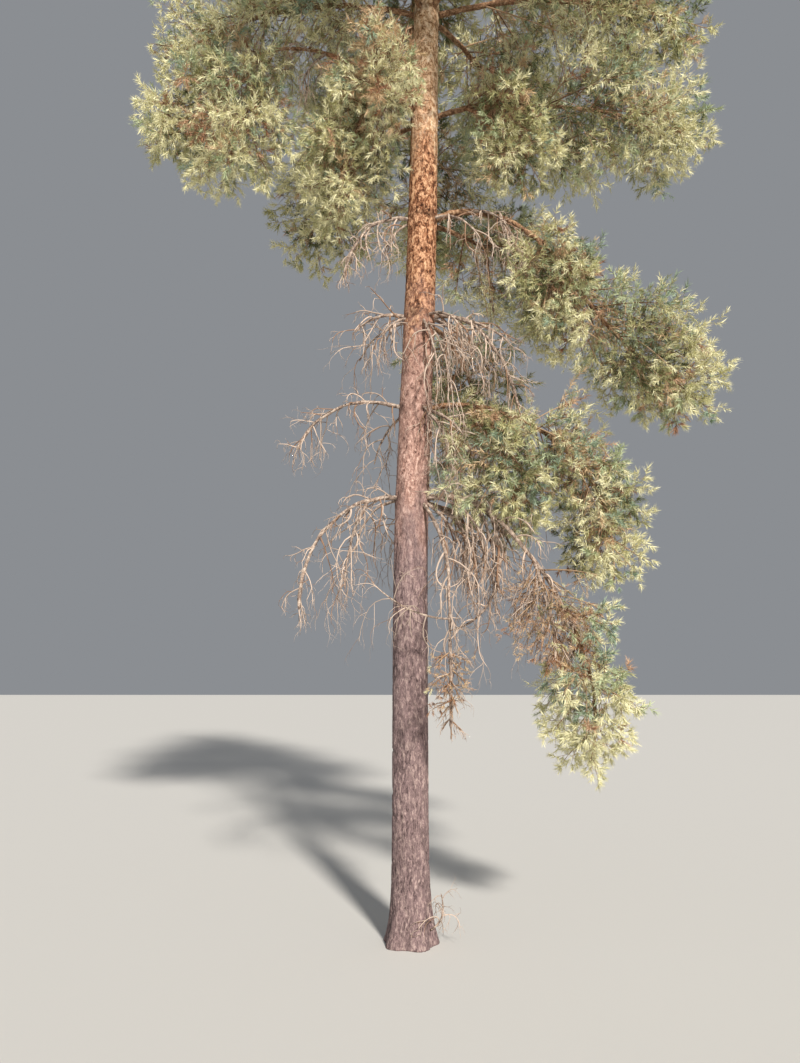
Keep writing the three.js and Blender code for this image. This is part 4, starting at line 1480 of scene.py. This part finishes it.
@dataclass(frozen=True)
class Branching:
    """How one level of twigs leaves the level before: so many on each parent, from its share "first" on.

    Each value with a scatter varies by it both ways. A twig is as long as the share "length" of its
    parent. The fades are a first factor of the spread or the length, and its loss along the parent.
    """

    count: int
    first: float
    spread: float
    spread_scatter: float
    length: float
    length_scatter: float
    sag: float
    sag_scatter: float
    curl: float
    thickness: float
    steps: int
    place: Pair = (0.15, 0.7)
    roll_scatter: float = 40
    spread_fade: Pair = (1.15, 0.45)
    length_fade: Pair = (1.2, 0.45)
    parent_share: float = 0.75
    thickness_span: Pair = (0.75, 0.5)
    tip_share: float = 0.45

    def grow(self, parents: Strands, rng: np.random.Generator, reach: np.ndarray | None = None) -> Strands:
        """Grows twigs from every parent at once.

        A twig's place is (j + random) / count of the way from first to 1, its roll about the parent is
        the golden turn times j, and it leaves the parent at the spread angle.

        Args:
            parents: The limbs that carry them.
            rng: The seeded generator.
            reach: The longest that each parent's twigs may be, or None for a share of its own length.

        Returns:
            The twigs, row by row of the parents.
        """
        n, k = len(parents), self.count
        place = np.arange(k) + self.place[0] + self.place[1] * rng.random((n, k))
        share = self.first + (1 - self.first) * place / k
        point, way, radius = parents.at(share)
        roll = np.arange(k) * GOLDEN_TURN + 360 * rng.random((n, 1)) + self.roll_scatter * rng.random((n, k))
        spread = self.spread * (self.spread_fade[0] - self.spread_fade[1] * share)
        spread = spread + self.spread_scatter * scatter(rng, (n, k))
        turn, rise = angles_of(unit(splay(way, np.radians(roll), np.radians(spread))))
        longest = parents.reach[:, None] if reach is None else reach[:, None]
        size = self.length * longest * (1 + self.length_scatter * scatter(rng, (n, k)))
        size = size * (self.length_fade[0] - self.length_fade[1] * share)
        sag = self.sag + self.sag_scatter * scatter(rng, (n, k))
        swing = self.curl * scatter(rng, (n, k))
        thickness = self.thickness * (self.thickness_span[0] + self.thickness_span[1] * rng.random((n, k)))
        base = np.minimum(radius * self.parent_share, thickness)
        flat = [x.ravel() for x in (turn, rise, sag, swing, size, base, base * self.tip_share)]
        rows = (np.repeat(x, k) for x in (parents.owner, parents.tint, np.arange(n)))
        return Strands(point.reshape(-1, 3), *flat, *rows, self.steps)


@dataclass(frozen=True)
class NeedleShape:
    """Pairs of needles that share a root: two slim triangles that spread apart."""

    length: float = 0.044
    length_span: Pair = (0.75, 0.4)
    width: float = 0.0053
    apart: float = 0.16
    first: float = 0.1
    lean_low: float = 56.0
    lean_high: float = 24.0
    lean_scatter: float = 8.0
    droop: float = 0.16
    a_shoot: int = 12

    def pairs(self, shoots: Strands, rng: np.random.Generator, size: np.ndarray) -> np.ndarray:
        """Sets pairs along every shoot at once.

        A pair leans from the shoot by lean_low at its foot to lean_high at its tip, rolled by the golden
        turn. Its root is an edge across the pair, and its two tips lie length apart from it along the
        lean, turned by apart to either side, a little down.

        Args:
            shoots: The shoots.
            rng: The seeded generator.
            size: The size of the needles on each shoot.

        Returns:
            The four points of each pair, in the shape (pairs, 4, 3).
        """
        n, k = len(shoots), self.a_shoot
        share = self.first + (1 - self.first) * (np.arange(k) + rng.random((n, k))) / k
        point, way, _ = shoots.at(share)
        roll = np.radians(np.arange(k) * GOLDEN_TURN + 360 * rng.random((n, 1)))
        lean = self.lean_low + (self.lean_high - self.lean_low) * share
        lean = np.radians(lean + self.lean_scatter * scatter(rng, (n, k)))
        along = unit(splay(way, roll, lean) - UP * self.droop)
        beside = unit(np.cross(along, rng.random((n, k, 3)) - 0.5))
        edge = np.cross(along, beside) * (self.width / 2 * size[:, None, None])
        long = self.length * size[:, None] * (self.length_span[0] + self.length_span[1] * rng.random((n, k)))
        tips = [point + unit(along + beside * apart) * long[..., None] for apart in (self.apart, -self.apart)]
        return np.stack([point - edge, point + edge, *tips], axis=2).reshape(-1, 4, 3)


def pair_surface(pairs: np.ndarray, tints: np.ndarray) -> Surface:
    """Makes two triangles of every pair's four points: root, root, tip, and root, root, other tip.

    Args:
        pairs: The points.
        tints: The number of each pair's colour.

    Returns:
        The surface.
    """
    first = np.arange(len(pairs))[:, None] * 4
    corners = (first + np.array([[0, 1, 2, 1, 0, 3]])).ravel()
    return Surface(pairs.reshape(-1, 3), corners, np.full(2 * len(pairs), 3), np.repeat(tints, 2))


@dataclass
class Crown:
    """The masses: stems, twigs, sprays and shoots, each level on the one before, and the needles on them.

    The first twigs follow the solids' own rule, with the same row of random numbers.
    """

    skeleton: Skeleton
    box: tuple[np.ndarray, np.ndarray]
    # The solids' rule: the first seed, the step to the next mass, and a twig's place, roll, spread and sag
    seed: int = 41
    seed_step: int = 101
    twig_place: Triple = (0.35, 0.3, 0.2)
    twig_roll: float = 30
    twig_spread: Triple = (58, 14, 12)
    twig_sag: Triple = (30, 0.4, 0.6)
    dead_sag: float = 48
    twig_radius: float = 0.006
    twig_share: float = 0.42
    twig_tip_share: float = 0.5
    twig_steps: int = 5
    twig_reach: float = 0.97
    shortest: float = 0.06
    bare_start: float = 0.04
    # More twigs between those: how many a square metre that the mass shows, and their spread and sag
    more_twigs: float = 22.0
    more_on_dead: int = 4
    more_on_dry: int = 3
    more_spread: Pair = (56, 20)
    more_sag: float = 24
    more_end: float = 0.1
    leader: tuple[float, ...] = (0.97, 0.0, 0.0, 6.0)
    least_reach: float = 0.72
    twig_swing: float = 12
    # Boughs with needles between the masses
    leafy: tuple[str, ...] = (
        "bough_2_right",
        "bough_2_right_outer",
        "bough_4_right_outer",
        "bough_5_left_outer",
        "bough_5_right",
        "bough_1_right_outer",
        "shoot_5_front_left",
    )
    between_reach: float = 0.42
    # How coarse the needles may be: out of the photograph's view, and behind the trunk
    unseen: tuple[str, ...] = (
        "needles_7_",
        "needles_8_",
        "needles_9_",
        "needles_10_",
        "needles_11_",
        "needles_top",
    )
    behind: tuple[str, ...] = ("needles_3_back", "needles_5_back", "needles_6_back")
    cells: tuple[float, ...] = (0.059, 0.086, 0.114)
    sizes: tuple[float, ...] = (1.0, 1.3, 1.6)
    dry_size: float = 0.54
    # Which twigs and shoots are kept
    beyond: float = 1.12
    beyond_between: float = 1.7
    least_limb: float = 0.02
    cell_point: float = 0.6
    core: float = 0.33
    core_power: float = 0.3
    opening: float = 0.52
    dry_opening: float = -0.02
    gap_waves: tuple[float, ...] = (0.34, 0.4, 0.48, 0.3, 0.56, 0.44)
    # The colours: greens are dealt as painted light and shade, brighter out at a mass's skin and in broad lit
    # patches, darker deep inside, and some sprays are cool or dry
    painted_patch_waves: tuple[float, ...] = (0.7, 0.55, 0.9, 0.62, 1.1)
    painted_patch_weight: float = 0.42
    tint_scatter: float = 0.2
    # Masses whose greens are lifted brighter as painted light, where the crown's own shade falls on them
    pale: tuple[str, ...] = (
        "needles_5_left",
        "needles_6_left",
        "needles_6_front_left",
        "needles_1_right_outer",
    )
    painted_light_by: float = 0.22
    painted_light_ranks: Triple = (-0.86, -0.7, -0.54)
    warm_tints: tuple[int, ...] = (0, 1, 2, 5)
    cool_tints: tuple[int, int] = (3, 4)
    first_cool: float = 0.6
    # Blue-green sprays grow more often above a mass's middle: partly the needles' own hue, partly painted
    # shade on the upper side
    cool_shade_chance: Pair = (0.22, 0.16)
    cool_shade_height: float = 0.4
    cool_limits: Pair = (0.08, 0.45)
    dry_chance: Pair = (0.55, 0.62)
    dry_limits: Pair = (0.05, 0.5)
    old_growth: float = 0.3
    brown_chance: Pair = (0.95, 0.85)
    brown_span: Pair = (0.65, 1.15)
    dry_chances: Triple = (0.46, 0.36, 0.18)
    sprays: Branching = Branching(11, 0.08, 54, 22, 0.44, 0.35, 8, 28, 30, 0.0032, 2)
    shoots: Branching = Branching(8, 0.08, 50, 20, 0.46, 0.3, -10, 26, 24, 0.0018, 1)
    between: Branching = Branching(14, 0.4, 60, 20, 0.9, 0.3, 20, 24, 20, 0.005, 5)
    needles: NeedleShape = NeedleShape()

    def solid_twigs(self, mass: Mass, seed: int, bare: float) -> list[tuple[float, ...]]:
        """Lays out the twigs of a mass's solid by the solids' rule.

        Args:
            mass: The mass.
            seed: Names its row of random numbers.
            bare: The share of the stem that carries none.

        Returns:
            The share along the stem, the roll, the spread and the sag of each twig.
        """
        random = SeededRandom(seed)
        start, span, end = self.twig_place
        spread, closing, opening = self.twig_spread
        most, least_share, more_share = self.twig_sag
        rows = []
        for k in range(mass.twigs):
            share = bare + (1 - bare) * ((k + start + span * random()) / (mass.twigs + end))
            roll = k * GOLDEN_TURN + self.twig_roll * random()
            aside = spread - closing * share + opening * random()
            sag = self.dead_sag if mass.kind is Kind.DEAD else most * (least_share + more_share * random())
            random()
            rows.append((share, roll, aside, sag))
        return rows

    def first_twigs(self, i: int) -> Strands:
        """Grows the twigs of one mass: those of the solids, then more between them, and one as its end.

        Args:
            i: The mass's number in the plan.

        Returns:
            The twigs, which reach the skin of the mass's space.
        """
        mass, stem, space = MASSES[i], self.skeleton.stems[i], self.skeleton.spaces[i]
        bare = max(mass.bare, self.bare_start / mass.reach)
        rows = self.solid_twigs(mass, self.seed + i * self.seed_step, bare)
        rng = np.random.default_rng(self.seed + i)
        more = round(self.more_twigs * space.face())
        more = {Kind.LIVE: more, Kind.DEAD: self.more_on_dead, Kind.DRY: self.more_on_dry * more}[mass.kind]
        extra = bare + (1 - bare) * (np.arange(more) + rng.random(more)) / (more + self.more_end)
        rolls = 360 * rng.random(more)
        spreads = self.more_spread[0] + self.more_spread[1] * scatter(rng, more)
        rows += [*zip(extra, rolls, spreads, self.more_sag * rng.random(more)), self.leader]
        share, roll, spread, sag = (np.array(x, float) for x in zip(*rows))
        point, way, radius = (x[0] for x in stem.at(share[None, :]))
        start = splay(way, np.radians(roll), np.radians(spread))
        part = self.least_reach + (1 - self.least_reach) * rng.random(len(share)) ** 0.5
        reach = np.maximum(space.room(point, start) * self.twig_reach * part, self.shortest)
        turn, rise = angles_of(start)
        base = np.minimum(self.twig_radius, radius * self.twig_share)
        owner, none = np.full(len(share), i), np.zeros(len(share), int)
        swing = self.twig_swing * scatter(rng, len(share))
        sizes = (reach, base, base * self.twig_tip_share)
        return Strands(point, turn, rise, sag, swing, *sizes, owner, none, none, self.twig_steps)

    def bough_twigs(self, rng: np.random.Generator, steps: int) -> Strands:
        """Grows twigs along the outer part of the boughs with needles, which fill in between the masses.

        Args:
            rng: The seeded generator.
            steps: How many steps the boughs are given.

        Returns:
            The twigs, each with a tint of 1 and the nearest mass as its owner.
        """
        boughs = Strands.join([self.skeleton.boughs[name].restepped(steps) for name in self.leafy])
        twigs = self.between.grow(boughs, rng, np.full(len(boughs), self.between_reach))
        twigs.tint = np.ones(len(twigs), int)
        twigs.owner = np.argmin(self.skeleton.depths(twigs.ends()), axis=1)
        return twigs.pick(self.skeleton.trunk.clear(twigs.ends()))

    def kept(self, limbs: Strands, furthest: float) -> Strands:
        """Keeps the limbs whose ends are no deeper in another mass, clear of the trunk and within the box.

        Args:
            limbs: The limbs.
            furthest: How far out of its own mass's space an end may be, where 1 is the skin.

        Returns:
            The limbs that are kept.
        """
        ends = limbs.ends()
        inside = self.skeleton.own(ends, limbs.owner, furthest)
        clear = self.skeleton.trunk.clear(ends) & self.skeleton.trunk.clear(limbs.start)
        boxed = ((ends > self.box[0]) & (ends < self.box[1])).all(axis=1)
        return limbs.pick(inside & clear & boxed & (limbs.reach > self.least_limb))

    def depth_of(self, limbs: Strands, points: np.ndarray) -> np.ndarray:
        """Tells how far out points are in their limbs' own spaces.

        Args:
            limbs: The limbs.
            points: A point for each of them.

        Returns:
            The depths, where 1 is the skin.
        """
        depth = np.zeros(len(limbs))
        for i, space in enumerate(self.skeleton.spaces):
            mine = limbs.owner == i
            depth[mine] = space.depth(points[mine])
        return depth

    def thinned(self, limbs: Strands, cell: float, rng: np.random.Generator) -> Strands:
        """Keeps one limb, picked by chance, of those that share a cube of space.

        Args:
            limbs: The limbs.
            cell: The cube's side.
            rng: The seeded generator.

        Returns:
            The limbs that are kept, in their old order.
        """
        middles = limbs.at(np.full((len(limbs), 1), self.cell_point))[0][:, 0]
        cube = np.floor(middles / cell).astype(np.int64)
        order = np.lexsort((rng.random(len(limbs)), *cube.T[::-1]))
        ordered = cube[order]
        first = np.concatenate([[True], (ordered[1:] != ordered[:-1]).any(axis=1)])
        return limbs.pick(np.sort(order[first]))

    def evened(self, shoots: Strands, rng: np.random.Generator) -> Strands:
        """Spreads the shoots evenly, more coarsely out of the photograph's view, and leaves small gaps.

        A gap is where the drift passes the opening, which is lower on a dry mass, or a mass's bare core.

        Args:
            shoots: The shoots.
            rng: The seeded generator.

        Returns:
            The shoots that are kept.
        """
        level = self.drift(shoots.start, self.gap_waves, rng)
        degree = by_mass(self.degree, shoots.owner)
        opening = np.where(by_mass(Mass.is_dry, shoots.owner), self.dry_opening, self.opening)
        core = self.core * rng.random(len(shoots)) ** self.core_power
        full = (level < opening) & ~(self.depth_of(shoots, shoots.start) < core)
        kept = [shoots.pick((degree == i) & full) for i in range(len(self.cells))]
        return Strands.join([self.thinned(part, cell, rng) for part, cell in zip(kept, self.cells)])

    @staticmethod
    def drift(points: np.ndarray, lengths: Sequence[float], rng: np.random.Generator) -> np.ndarray:
        """Smooth noise from -1 to 1: the mean of sine waves in random directions.

        Args:
            points: Where it is worked out.
            lengths: The waves' lengths.
            rng: The seeded generator.

        Returns:
            The noise at each point.
        """
        waves = unit(rng.standard_normal((len(lengths), 3))) * 2 * np.pi / np.array(lengths)[:, None]
        return np.sin(points @ waves.T + 6 * rng.random(len(lengths))).mean(axis=1)

    def degree(self, mass: Mass) -> int:
        """Gives how coarse a mass's needles may be.

        Args:
            mass: The mass.

        Returns:
            0 in plain view, 1 behind the trunk, 2 above the photograph.
        """
        if mass.name.startswith(self.unseen):
            return 2
        return 1 if mass.name.startswith(self.behind) else 0

    def size_on(self, mass: Mass) -> float:
        """Gives the size of a mass's needles: larger where there are fewer, and small on a dry mass."""
        return self.dry_size if mass.is_dry() else self.sizes[self.degree(mass)]

    def deal_tints(self, sprays: Strands, rng: np.random.Generator) -> np.ndarray:
        """Deals a tint to each spray: rust and tan deep inside, greens further out, brightest at the skin.
        The greens carry painted light and shade: brighter at the skin, in broad lit patches and on the masses
        named pale, darker deep inside, and more often blue-green above a mass's middle, which is partly the
        needles' own hue and partly painted shade.

        Sprays that come with a tint of 1 grow near a bough, where more needles are dry. A dry mass is
        brown by the trunk and turns green further out.

        Args:
            sprays: The sprays.
            rng: The seeded generator.

        Returns:
            Numbers of GREEN, or of DRY after them.
        """
        count, owner, ends = len(sprays), sprays.owner, sprays.ends()
        depth = self.depth_of(sprays, ends)
        middles = np.array([space.middle for space in self.skeleton.spaces])
        above = (ends[:, 2] - middles[owner, 2]) / self.cool_shade_height
        drift = self.drift(ends, self.painted_patch_waves, np.random.default_rng(self.seed))
        # Painted light: the masses named pale get brighter greens
        painted_light_lift = self.painted_light_by * by_mass(lambda mass: mass.name.startswith(self.pale), owner)
        # Painted light and shade: greens brighter at the skin and in broad lit patches, darker deep inside
        painted_light_rank = depth + self.painted_patch_weight * drift + self.tint_scatter * rng.standard_normal(count) + painted_light_lift
        tint = np.choose(np.digitize(-painted_light_rank, self.painted_light_ranks), self.warm_tints)
        # Blue-green more often on the upper side: partly the needles' own hue, partly painted shade
        chance = np.clip(self.cool_shade_chance[0] + self.cool_shade_chance[1] * above, *self.cool_limits)
        cool = rng.random(count) < chance
        tint = np.where(cool, np.where(rng.random(count) < self.first_cool, *self.cool_tints), tint)
        chance = np.clip(self.dry_chance[0] - self.dry_chance[1] * depth, *self.dry_limits)
        dry = rng.random(count) < chance + self.old_growth * sprays.tint
        browned = self.brown_chance[0] - self.brown_chance[1] * ease(ends[:, 0], *self.brown_span)
        dry |= by_mass(Mass.is_dry, owner) & (rng.random(count) < browned)
        return np.where(dry, len(GREEN) + rng.choice(len(DRY), count, p=self.dry_chances), tint)


@dataclass
class PineTree:
    """The whole tree: it builds each sub-assembly, dresses it and ties it to the frame."""

    box: tuple[np.ndarray, np.ndarray]
    trunk: Trunk = field(default_factory=Trunk)
    made: dict[str, bpy.types.Material] = field(default_factory=dict)
    live_seed: int = 7
    dead_seed: int = 8
    # The seeds of the limbs' bark, and the radius under which a bough ends in a point
    seed_step: int = 100
    stem_seed: int = 5000
    pointed_under: float = 0.006
    # The dead twigs: three levels, how much each is crooked, and the sides of its tubes
    dead_levels: tuple[Branching, ...] = (
        Branching(8, 0.18, 62, 24, 0.55, 0.45, 90, 50, 80, 0.0062, 8),
        Branching(5, 0.2, 50, 22, 0.52, 0.45, 60, 60, 90, 0.0044, 5),
        Branching(2, 0.3, 44, 20, 0.5, 0.4, 40, 60, 90, 0.003, 3),
    )
    crooks: Triple = (9.0, 12.0, 14.0)
    dead_sides: tuple[int, int, int] = (5, 3, 3)
    carrier_steps: int = 12
    side_share: float = 1.1
    side_reach: Pair = (0.14, 0.62)
    twig_gap: float = 0.006
    dead_tint_chances: Triple = (0.5, 0.3, 0.2)
    # The live twigs: the sides of each level's tubes, and how many are of the second colour
    live_sides: tuple[int, int, int] = (5, 3, 3)
    brown_twigs: float = 0.45
    end_from: float = 0.66
    end_share: float = 0.34
    end_radii: Pair = (0.9, 0.5)
    needle_size: Pair = (0.85, 0.3)

    def __post_init__(self) -> None:
        """Lays out the limbs and the crown."""
        self.skeleton = Skeleton(self.trunk)
        self.crown = Crown(self.skeleton, self.box)

    def place(
        self,
        surface: Surface,
        name: str,
        finishes: Sequence[Plain | Bark],
        slot: Slot,
        nodes: Iterable[str],
        smooth: bool = True,
    ) -> None:
        """Builds a piece, ties it to the body, and hides the nodes that it stands for.

        Args:
            surface: Its surface.
            name: Its name.
            finishes: One for each tint.
            slot: The record's slot; not used.
            nodes: The nodes that it replaces.
            smooth: True for smooth shading.
        """
        for finish in finishes:
            if finish.name not in self.made:
                self.made[finish.name] = finish.material()
        piece = surface.build(name, [self.made[finish.name] for finish in finishes], smooth)
        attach(piece, BODY)
        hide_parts(*nodes)
        LOG.info("%s: %d triangles", name, surface.triangles())

    def build(self) -> None:
        """Builds every piece of the tree."""
        self.place(self.trunk.surface(), "trunk_with_bark", [TRUNK_BARK], Slot.TRUNK_BARK, ["trunk"])
        self.build_boughs()
        self.build_masses()

    def build_boughs(self) -> None:
        """Builds the live boughs with the live stems, and the dead boughs with the dead stems and snags."""
        bark = LimbBark()
        live, dead = [], []
        for i, bough in enumerate((*BOUGHS, *SNAGS)):
            limb = self.skeleton.boughs[bough.name]
            tube = bark.tube(limb, self.seed_step * i, bough.tip < self.pointed_under)
            (dead if bough.dead else live).append(tube)
        for i, (mass, stem) in enumerate(zip(MASSES, self.skeleton.stems)):
            tube = bark.tube(stem, self.stem_seed + self.seed_step * i, True, plain=True)
            (live if mass.kind is Kind.LIVE else dead).append(tube)
        for surfaces, name, finish, slot, bare in (
            (live, "live_boughs", LIVE_BARK, Slot.BOUGH_BARK, False),
            (dead, "dead_boughs", DEAD_BARK, Slot.DEAD_WOOD, True),
        ):
            nodes = [bough.name for bough in BOUGHS if bough.dead is bare]
            nodes += [mass.name for mass in MASSES if (mass.kind is not Kind.LIVE) is bare]
            self.place(Surface.join(surfaces), name, [finish], slot, nodes)

    def build_masses(self) -> None:
        """Grows the levels of twigs, deals out the tints, and builds the twigs and the needles."""
        crown = self.crown
        rng = np.random.default_rng(self.live_seed)
        twigs = Strands.join([crown.first_twigs(i) for i in range(len(MASSES))])
        kinds = by_mass(lambda mass: mass.kind.value, twigs.owner)
        self.build_dead_twigs(twigs.pick(kinds != Kind.LIVE.value))
        live = twigs.pick(kinds != Kind.DEAD.value)
        between = crown.bough_twigs(rng, self.carrier_steps)
        on_masses = crown.kept(crown.sprays.grow(live, rng), crown.beyond)
        on_boughs = crown.kept(crown.sprays.grow(between, rng), crown.beyond_between)
        live = Strands.join([live, between])
        sprays = Strands.join([on_masses, on_boughs, self.twig_ends(live, on_masses.steps)])
        sprays.tint = crown.deal_tints(sprays, rng)
        grown = crown.kept(crown.shoots.grow(sprays, rng), crown.beyond_between)
        shoots = crown.evened(grown, rng)
        leafy = np.unique(shoots.root)
        LOG.info("shoots: %d of %d, on %d of %d sprays", len(shoots), len(grown), len(leafy), len(sprays))
        self.build_live_twigs((live, sprays.pick(leafy), shoots), rng)
        self.build_needles(shoots, rng)

    def twig_ends(self, twigs: Strands, steps: int) -> Strands:
        """Gives the outer third of every twig, which carries needles like a spray.

        Args:
            twigs: The twigs.
            steps: How many steps the ends get.

        Returns:
            The ends.
        """
        start, way, radius = twigs.at(np.full((len(twigs), 1), self.end_from))
        turn, rise = angles_of(way[:, 0])
        bends = [row * self.end_share for row in (twigs.sag, twigs.swing, twigs.reach)]
        radii = [radius[:, 0] * share for share in self.end_radii]
        return Strands(start[:, 0], turn, rise, *bends, *radii, twigs.owner, twigs.tint, twigs.root, steps)

    def build_live_twigs(self, levels: Sequence[Strands], rng: np.random.Generator) -> None:
        """Builds the live twigs in pieces, region by region.

        Args:
            levels: The twigs, the sprays and the shoots.
            rng: The seeded generator.
        """
        tints = [(rng.random(len(level)) < self.brown_twigs).astype(int) for level in levels]
        shown = [replace(level, tint=tint) for level, tint in zip(levels, tints)]
        for name, owners, nodes in self.regions():
            parts = [
                tubes(level.pick(np.isin(level.owner, owners)), sides)
                for level, sides in zip(shown, self.live_sides)
            ]
            self.place(Surface.join(parts), f"twigs_{name}", LIVE_TWIGS, Slot.BOUGH_BARK, nodes)

    def build_needles(self, shoots: Strands, rng: np.random.Generator) -> None:
        """Builds the needles, green and dry apart, region by region.

        Args:
            shoots: The shoots that carry them.
            rng: The seeded generator.
        """
        shape = self.crown.needles
        size = self.needle_size[0] + self.needle_size[1] * rng.random(len(shoots))
        size = size * by_mass(self.crown.size_on, shoots.owner)
        dry = shoots.tint >= len(GREEN)
        for name, owners, nodes in self.regions():
            mine = np.isin(shoots.owner, owners)
            for label, chosen, finishes, slot, first in (
                ("needles", mine & ~dry, GREEN, Slot.NEEDLES, 0),
                ("dry_needles", mine & dry, DRY, Slot.DRY_NEEDLES, len(GREEN)),
            ):
                picked = shoots.pick(chosen)
                pairs = shape.pairs(picked, rng, size[chosen])
                surface = pair_surface(pairs, np.repeat(picked.tint - first, shape.a_shoot))
                self.place(surface, f"{label}_{name}", finishes, slot, nodes, smooth=False)

    @staticmethod
    def regions() -> list[tuple[str, list[int], list[str]]]:
        """Groups the masses with needles, so that no piece grows too large.

        Returns:
            The name of each region, and the numbers and the names of its masses.
        """
        found = []
        for name, starts in REGIONS.items():
            owners = [i for i, mass in enumerate(MASSES) if mass.name.startswith(starts)]
            found.append((name, owners, [MASSES[i].name for i in owners]))
        return found

    def build_dead_twigs(self, twigs: Strands) -> None:
        """Builds the bare dead twigs on the dead masses, the dead boughs and the snags.

        Args:
            twigs: The first twigs of the masses without live needles.
        """
        rng = np.random.default_rng(self.dead_seed)
        carriers = [self.skeleton.boughs[bough.name] for bough in (*BOUGHS, *SNAGS) if bough.dead]
        limbs = Strands.join([carrier.restepped(self.carrier_steps) for carrier in carriers])
        first, *finer = self.dead_levels
        side = first.grow(limbs, rng, np.clip(limbs.reach * self.side_share, *self.side_reach))
        grown = Strands.join([twigs.restepped(first.steps), side])
        levels = []
        for crook, branching in zip(self.crooks, (*finer, None)):
            grown = self.free(replace(grown, crook=crook))
            levels.append(grown)
            if branching is not None:
                grown = branching.grow(grown, rng)
        parts = []
        for level, sides in zip(levels, self.dead_sides):
            tint = rng.choice(len(DEAD_TWIGS), len(level), p=self.dead_tint_chances)
            parts.append(tubes(replace(level, tint=tint), sides))
        nodes = [mass.name for mass in MASSES if mass.kind is not Kind.LIVE]
        self.place(Surface.join(parts), "bare_dead_twigs", DEAD_TWIGS, Slot.DEAD_TWIGS, nodes)

    def free(self, twigs: Strands) -> Strands:
        """Drops the twigs that run into the trunk or the ground, before anything grows on them.

        Args:
            twigs: The twigs.

        Returns:
            Those whose middles and ends are clear.
        """
        middles, ends = twigs.at(np.full((len(twigs), 1), 0.5))[0][:, 0], twigs.ends()
        clear = self.trunk.clear(middles, self.twig_gap) & self.trunk.clear(ends, self.twig_gap)
        return twigs.pick(clear & (ends[:, 2] > self.twig_gap))


# The studio


@dataclass
class Studio:
    """A pale floor, a soft sun from the front, an even pale surround and the camera."""

    camera_place: Triple = (-0.062, -5.05, 1.55)
    camera_tilt: float = 10.2
    focal_pixels: float = 798.5
    image_height: int = 1063
    sensor: float = 36.0
    furthest: float = 400.0
    floor_half: float = 60.0
    floor_drop: float = 0.0005
    floor_finish: Plain = Plain("floor", (0.62, 0.61, 0.59), 0.9)
    sun_turn: float = 288.0
    sun_rise: float = 31.0
    sun_angle: float = 6.0
    sun_power: float = 5.2
    sun_colour: Triple = (1.0, 0.95, 0.87)
    sky: float = 0.3
    sky_colour: Triple = (0.86, 0.90, 0.96)

    def build(self) -> None:
        """Makes the floor, the lights and the camera."""
        self.floor()
        self.lights()
        self.camera()

    def floor(self) -> None:
        """Lays a flat plain floor just under the trunk's cut."""
        corners = np.array([[-1, -1], [1, -1], [1, 1], [-1, 1]]) * self.floor_half
        points = np.column_stack([corners, np.full(4, -self.floor_drop)])
        surface = Surface(points, np.arange(4), np.array([4]), np.zeros(1))
        floor = surface.build("floor", [self.floor_finish.material()], smooth=False)
        floor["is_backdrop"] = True

    def lights(self) -> None:
        """Sets a soft sun from behind the camera and an even pale surround."""
        world = bpy.data.worlds.new("surround")
        world.use_nodes = True
        background = world.node_tree.nodes["Background"]
        background.inputs["Color"].default_value = (*self.sky_colour, 1)
        background.inputs["Strength"].default_value = self.sky
        bpy.context.scene.world = world
        bpy.context.scene.view_settings.view_transform = "Standard"
        lamp = bpy.data.lights.new("key", "SUN")
        lamp.energy = self.sun_power
        lamp.angle = math.radians(self.sun_angle)
        lamp.color = self.sun_colour
        key = bpy.data.objects.new("key", lamp)
        key.rotation_euler = (math.radians(90 - self.sun_rise), 0, math.radians(self.sun_turn + 90))
        bpy.context.scene.collection.objects.link(key)

    def camera(self) -> None:
        """Sets the camera: its lens is the sensor times the focal length over the image's height."""
        data = bpy.data.cameras.new("camera")
        data.sensor_width = self.sensor
        data.lens = self.sensor * self.focal_pixels / self.image_height
        data.clip_end = self.furthest
        camera = bpy.data.objects.new("camera", data)
        camera.location = self.camera_place
        camera.rotation_euler = (math.radians(90 + self.camera_tilt), 0, 0)
        bpy.context.scene.collection.objects.link(camera)
        bpy.context.scene.camera = camera


def main() -> None:
    """Loads the frame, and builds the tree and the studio."""
    logging.basicConfig(level=logging.INFO, format="%(name)s %(message)s")
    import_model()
    cad_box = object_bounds()
    Studio().build()
    PineTree((np.array(cad_box[0]), np.array(cad_box[1]))).build()


if __name__ == "__main__":
    main()
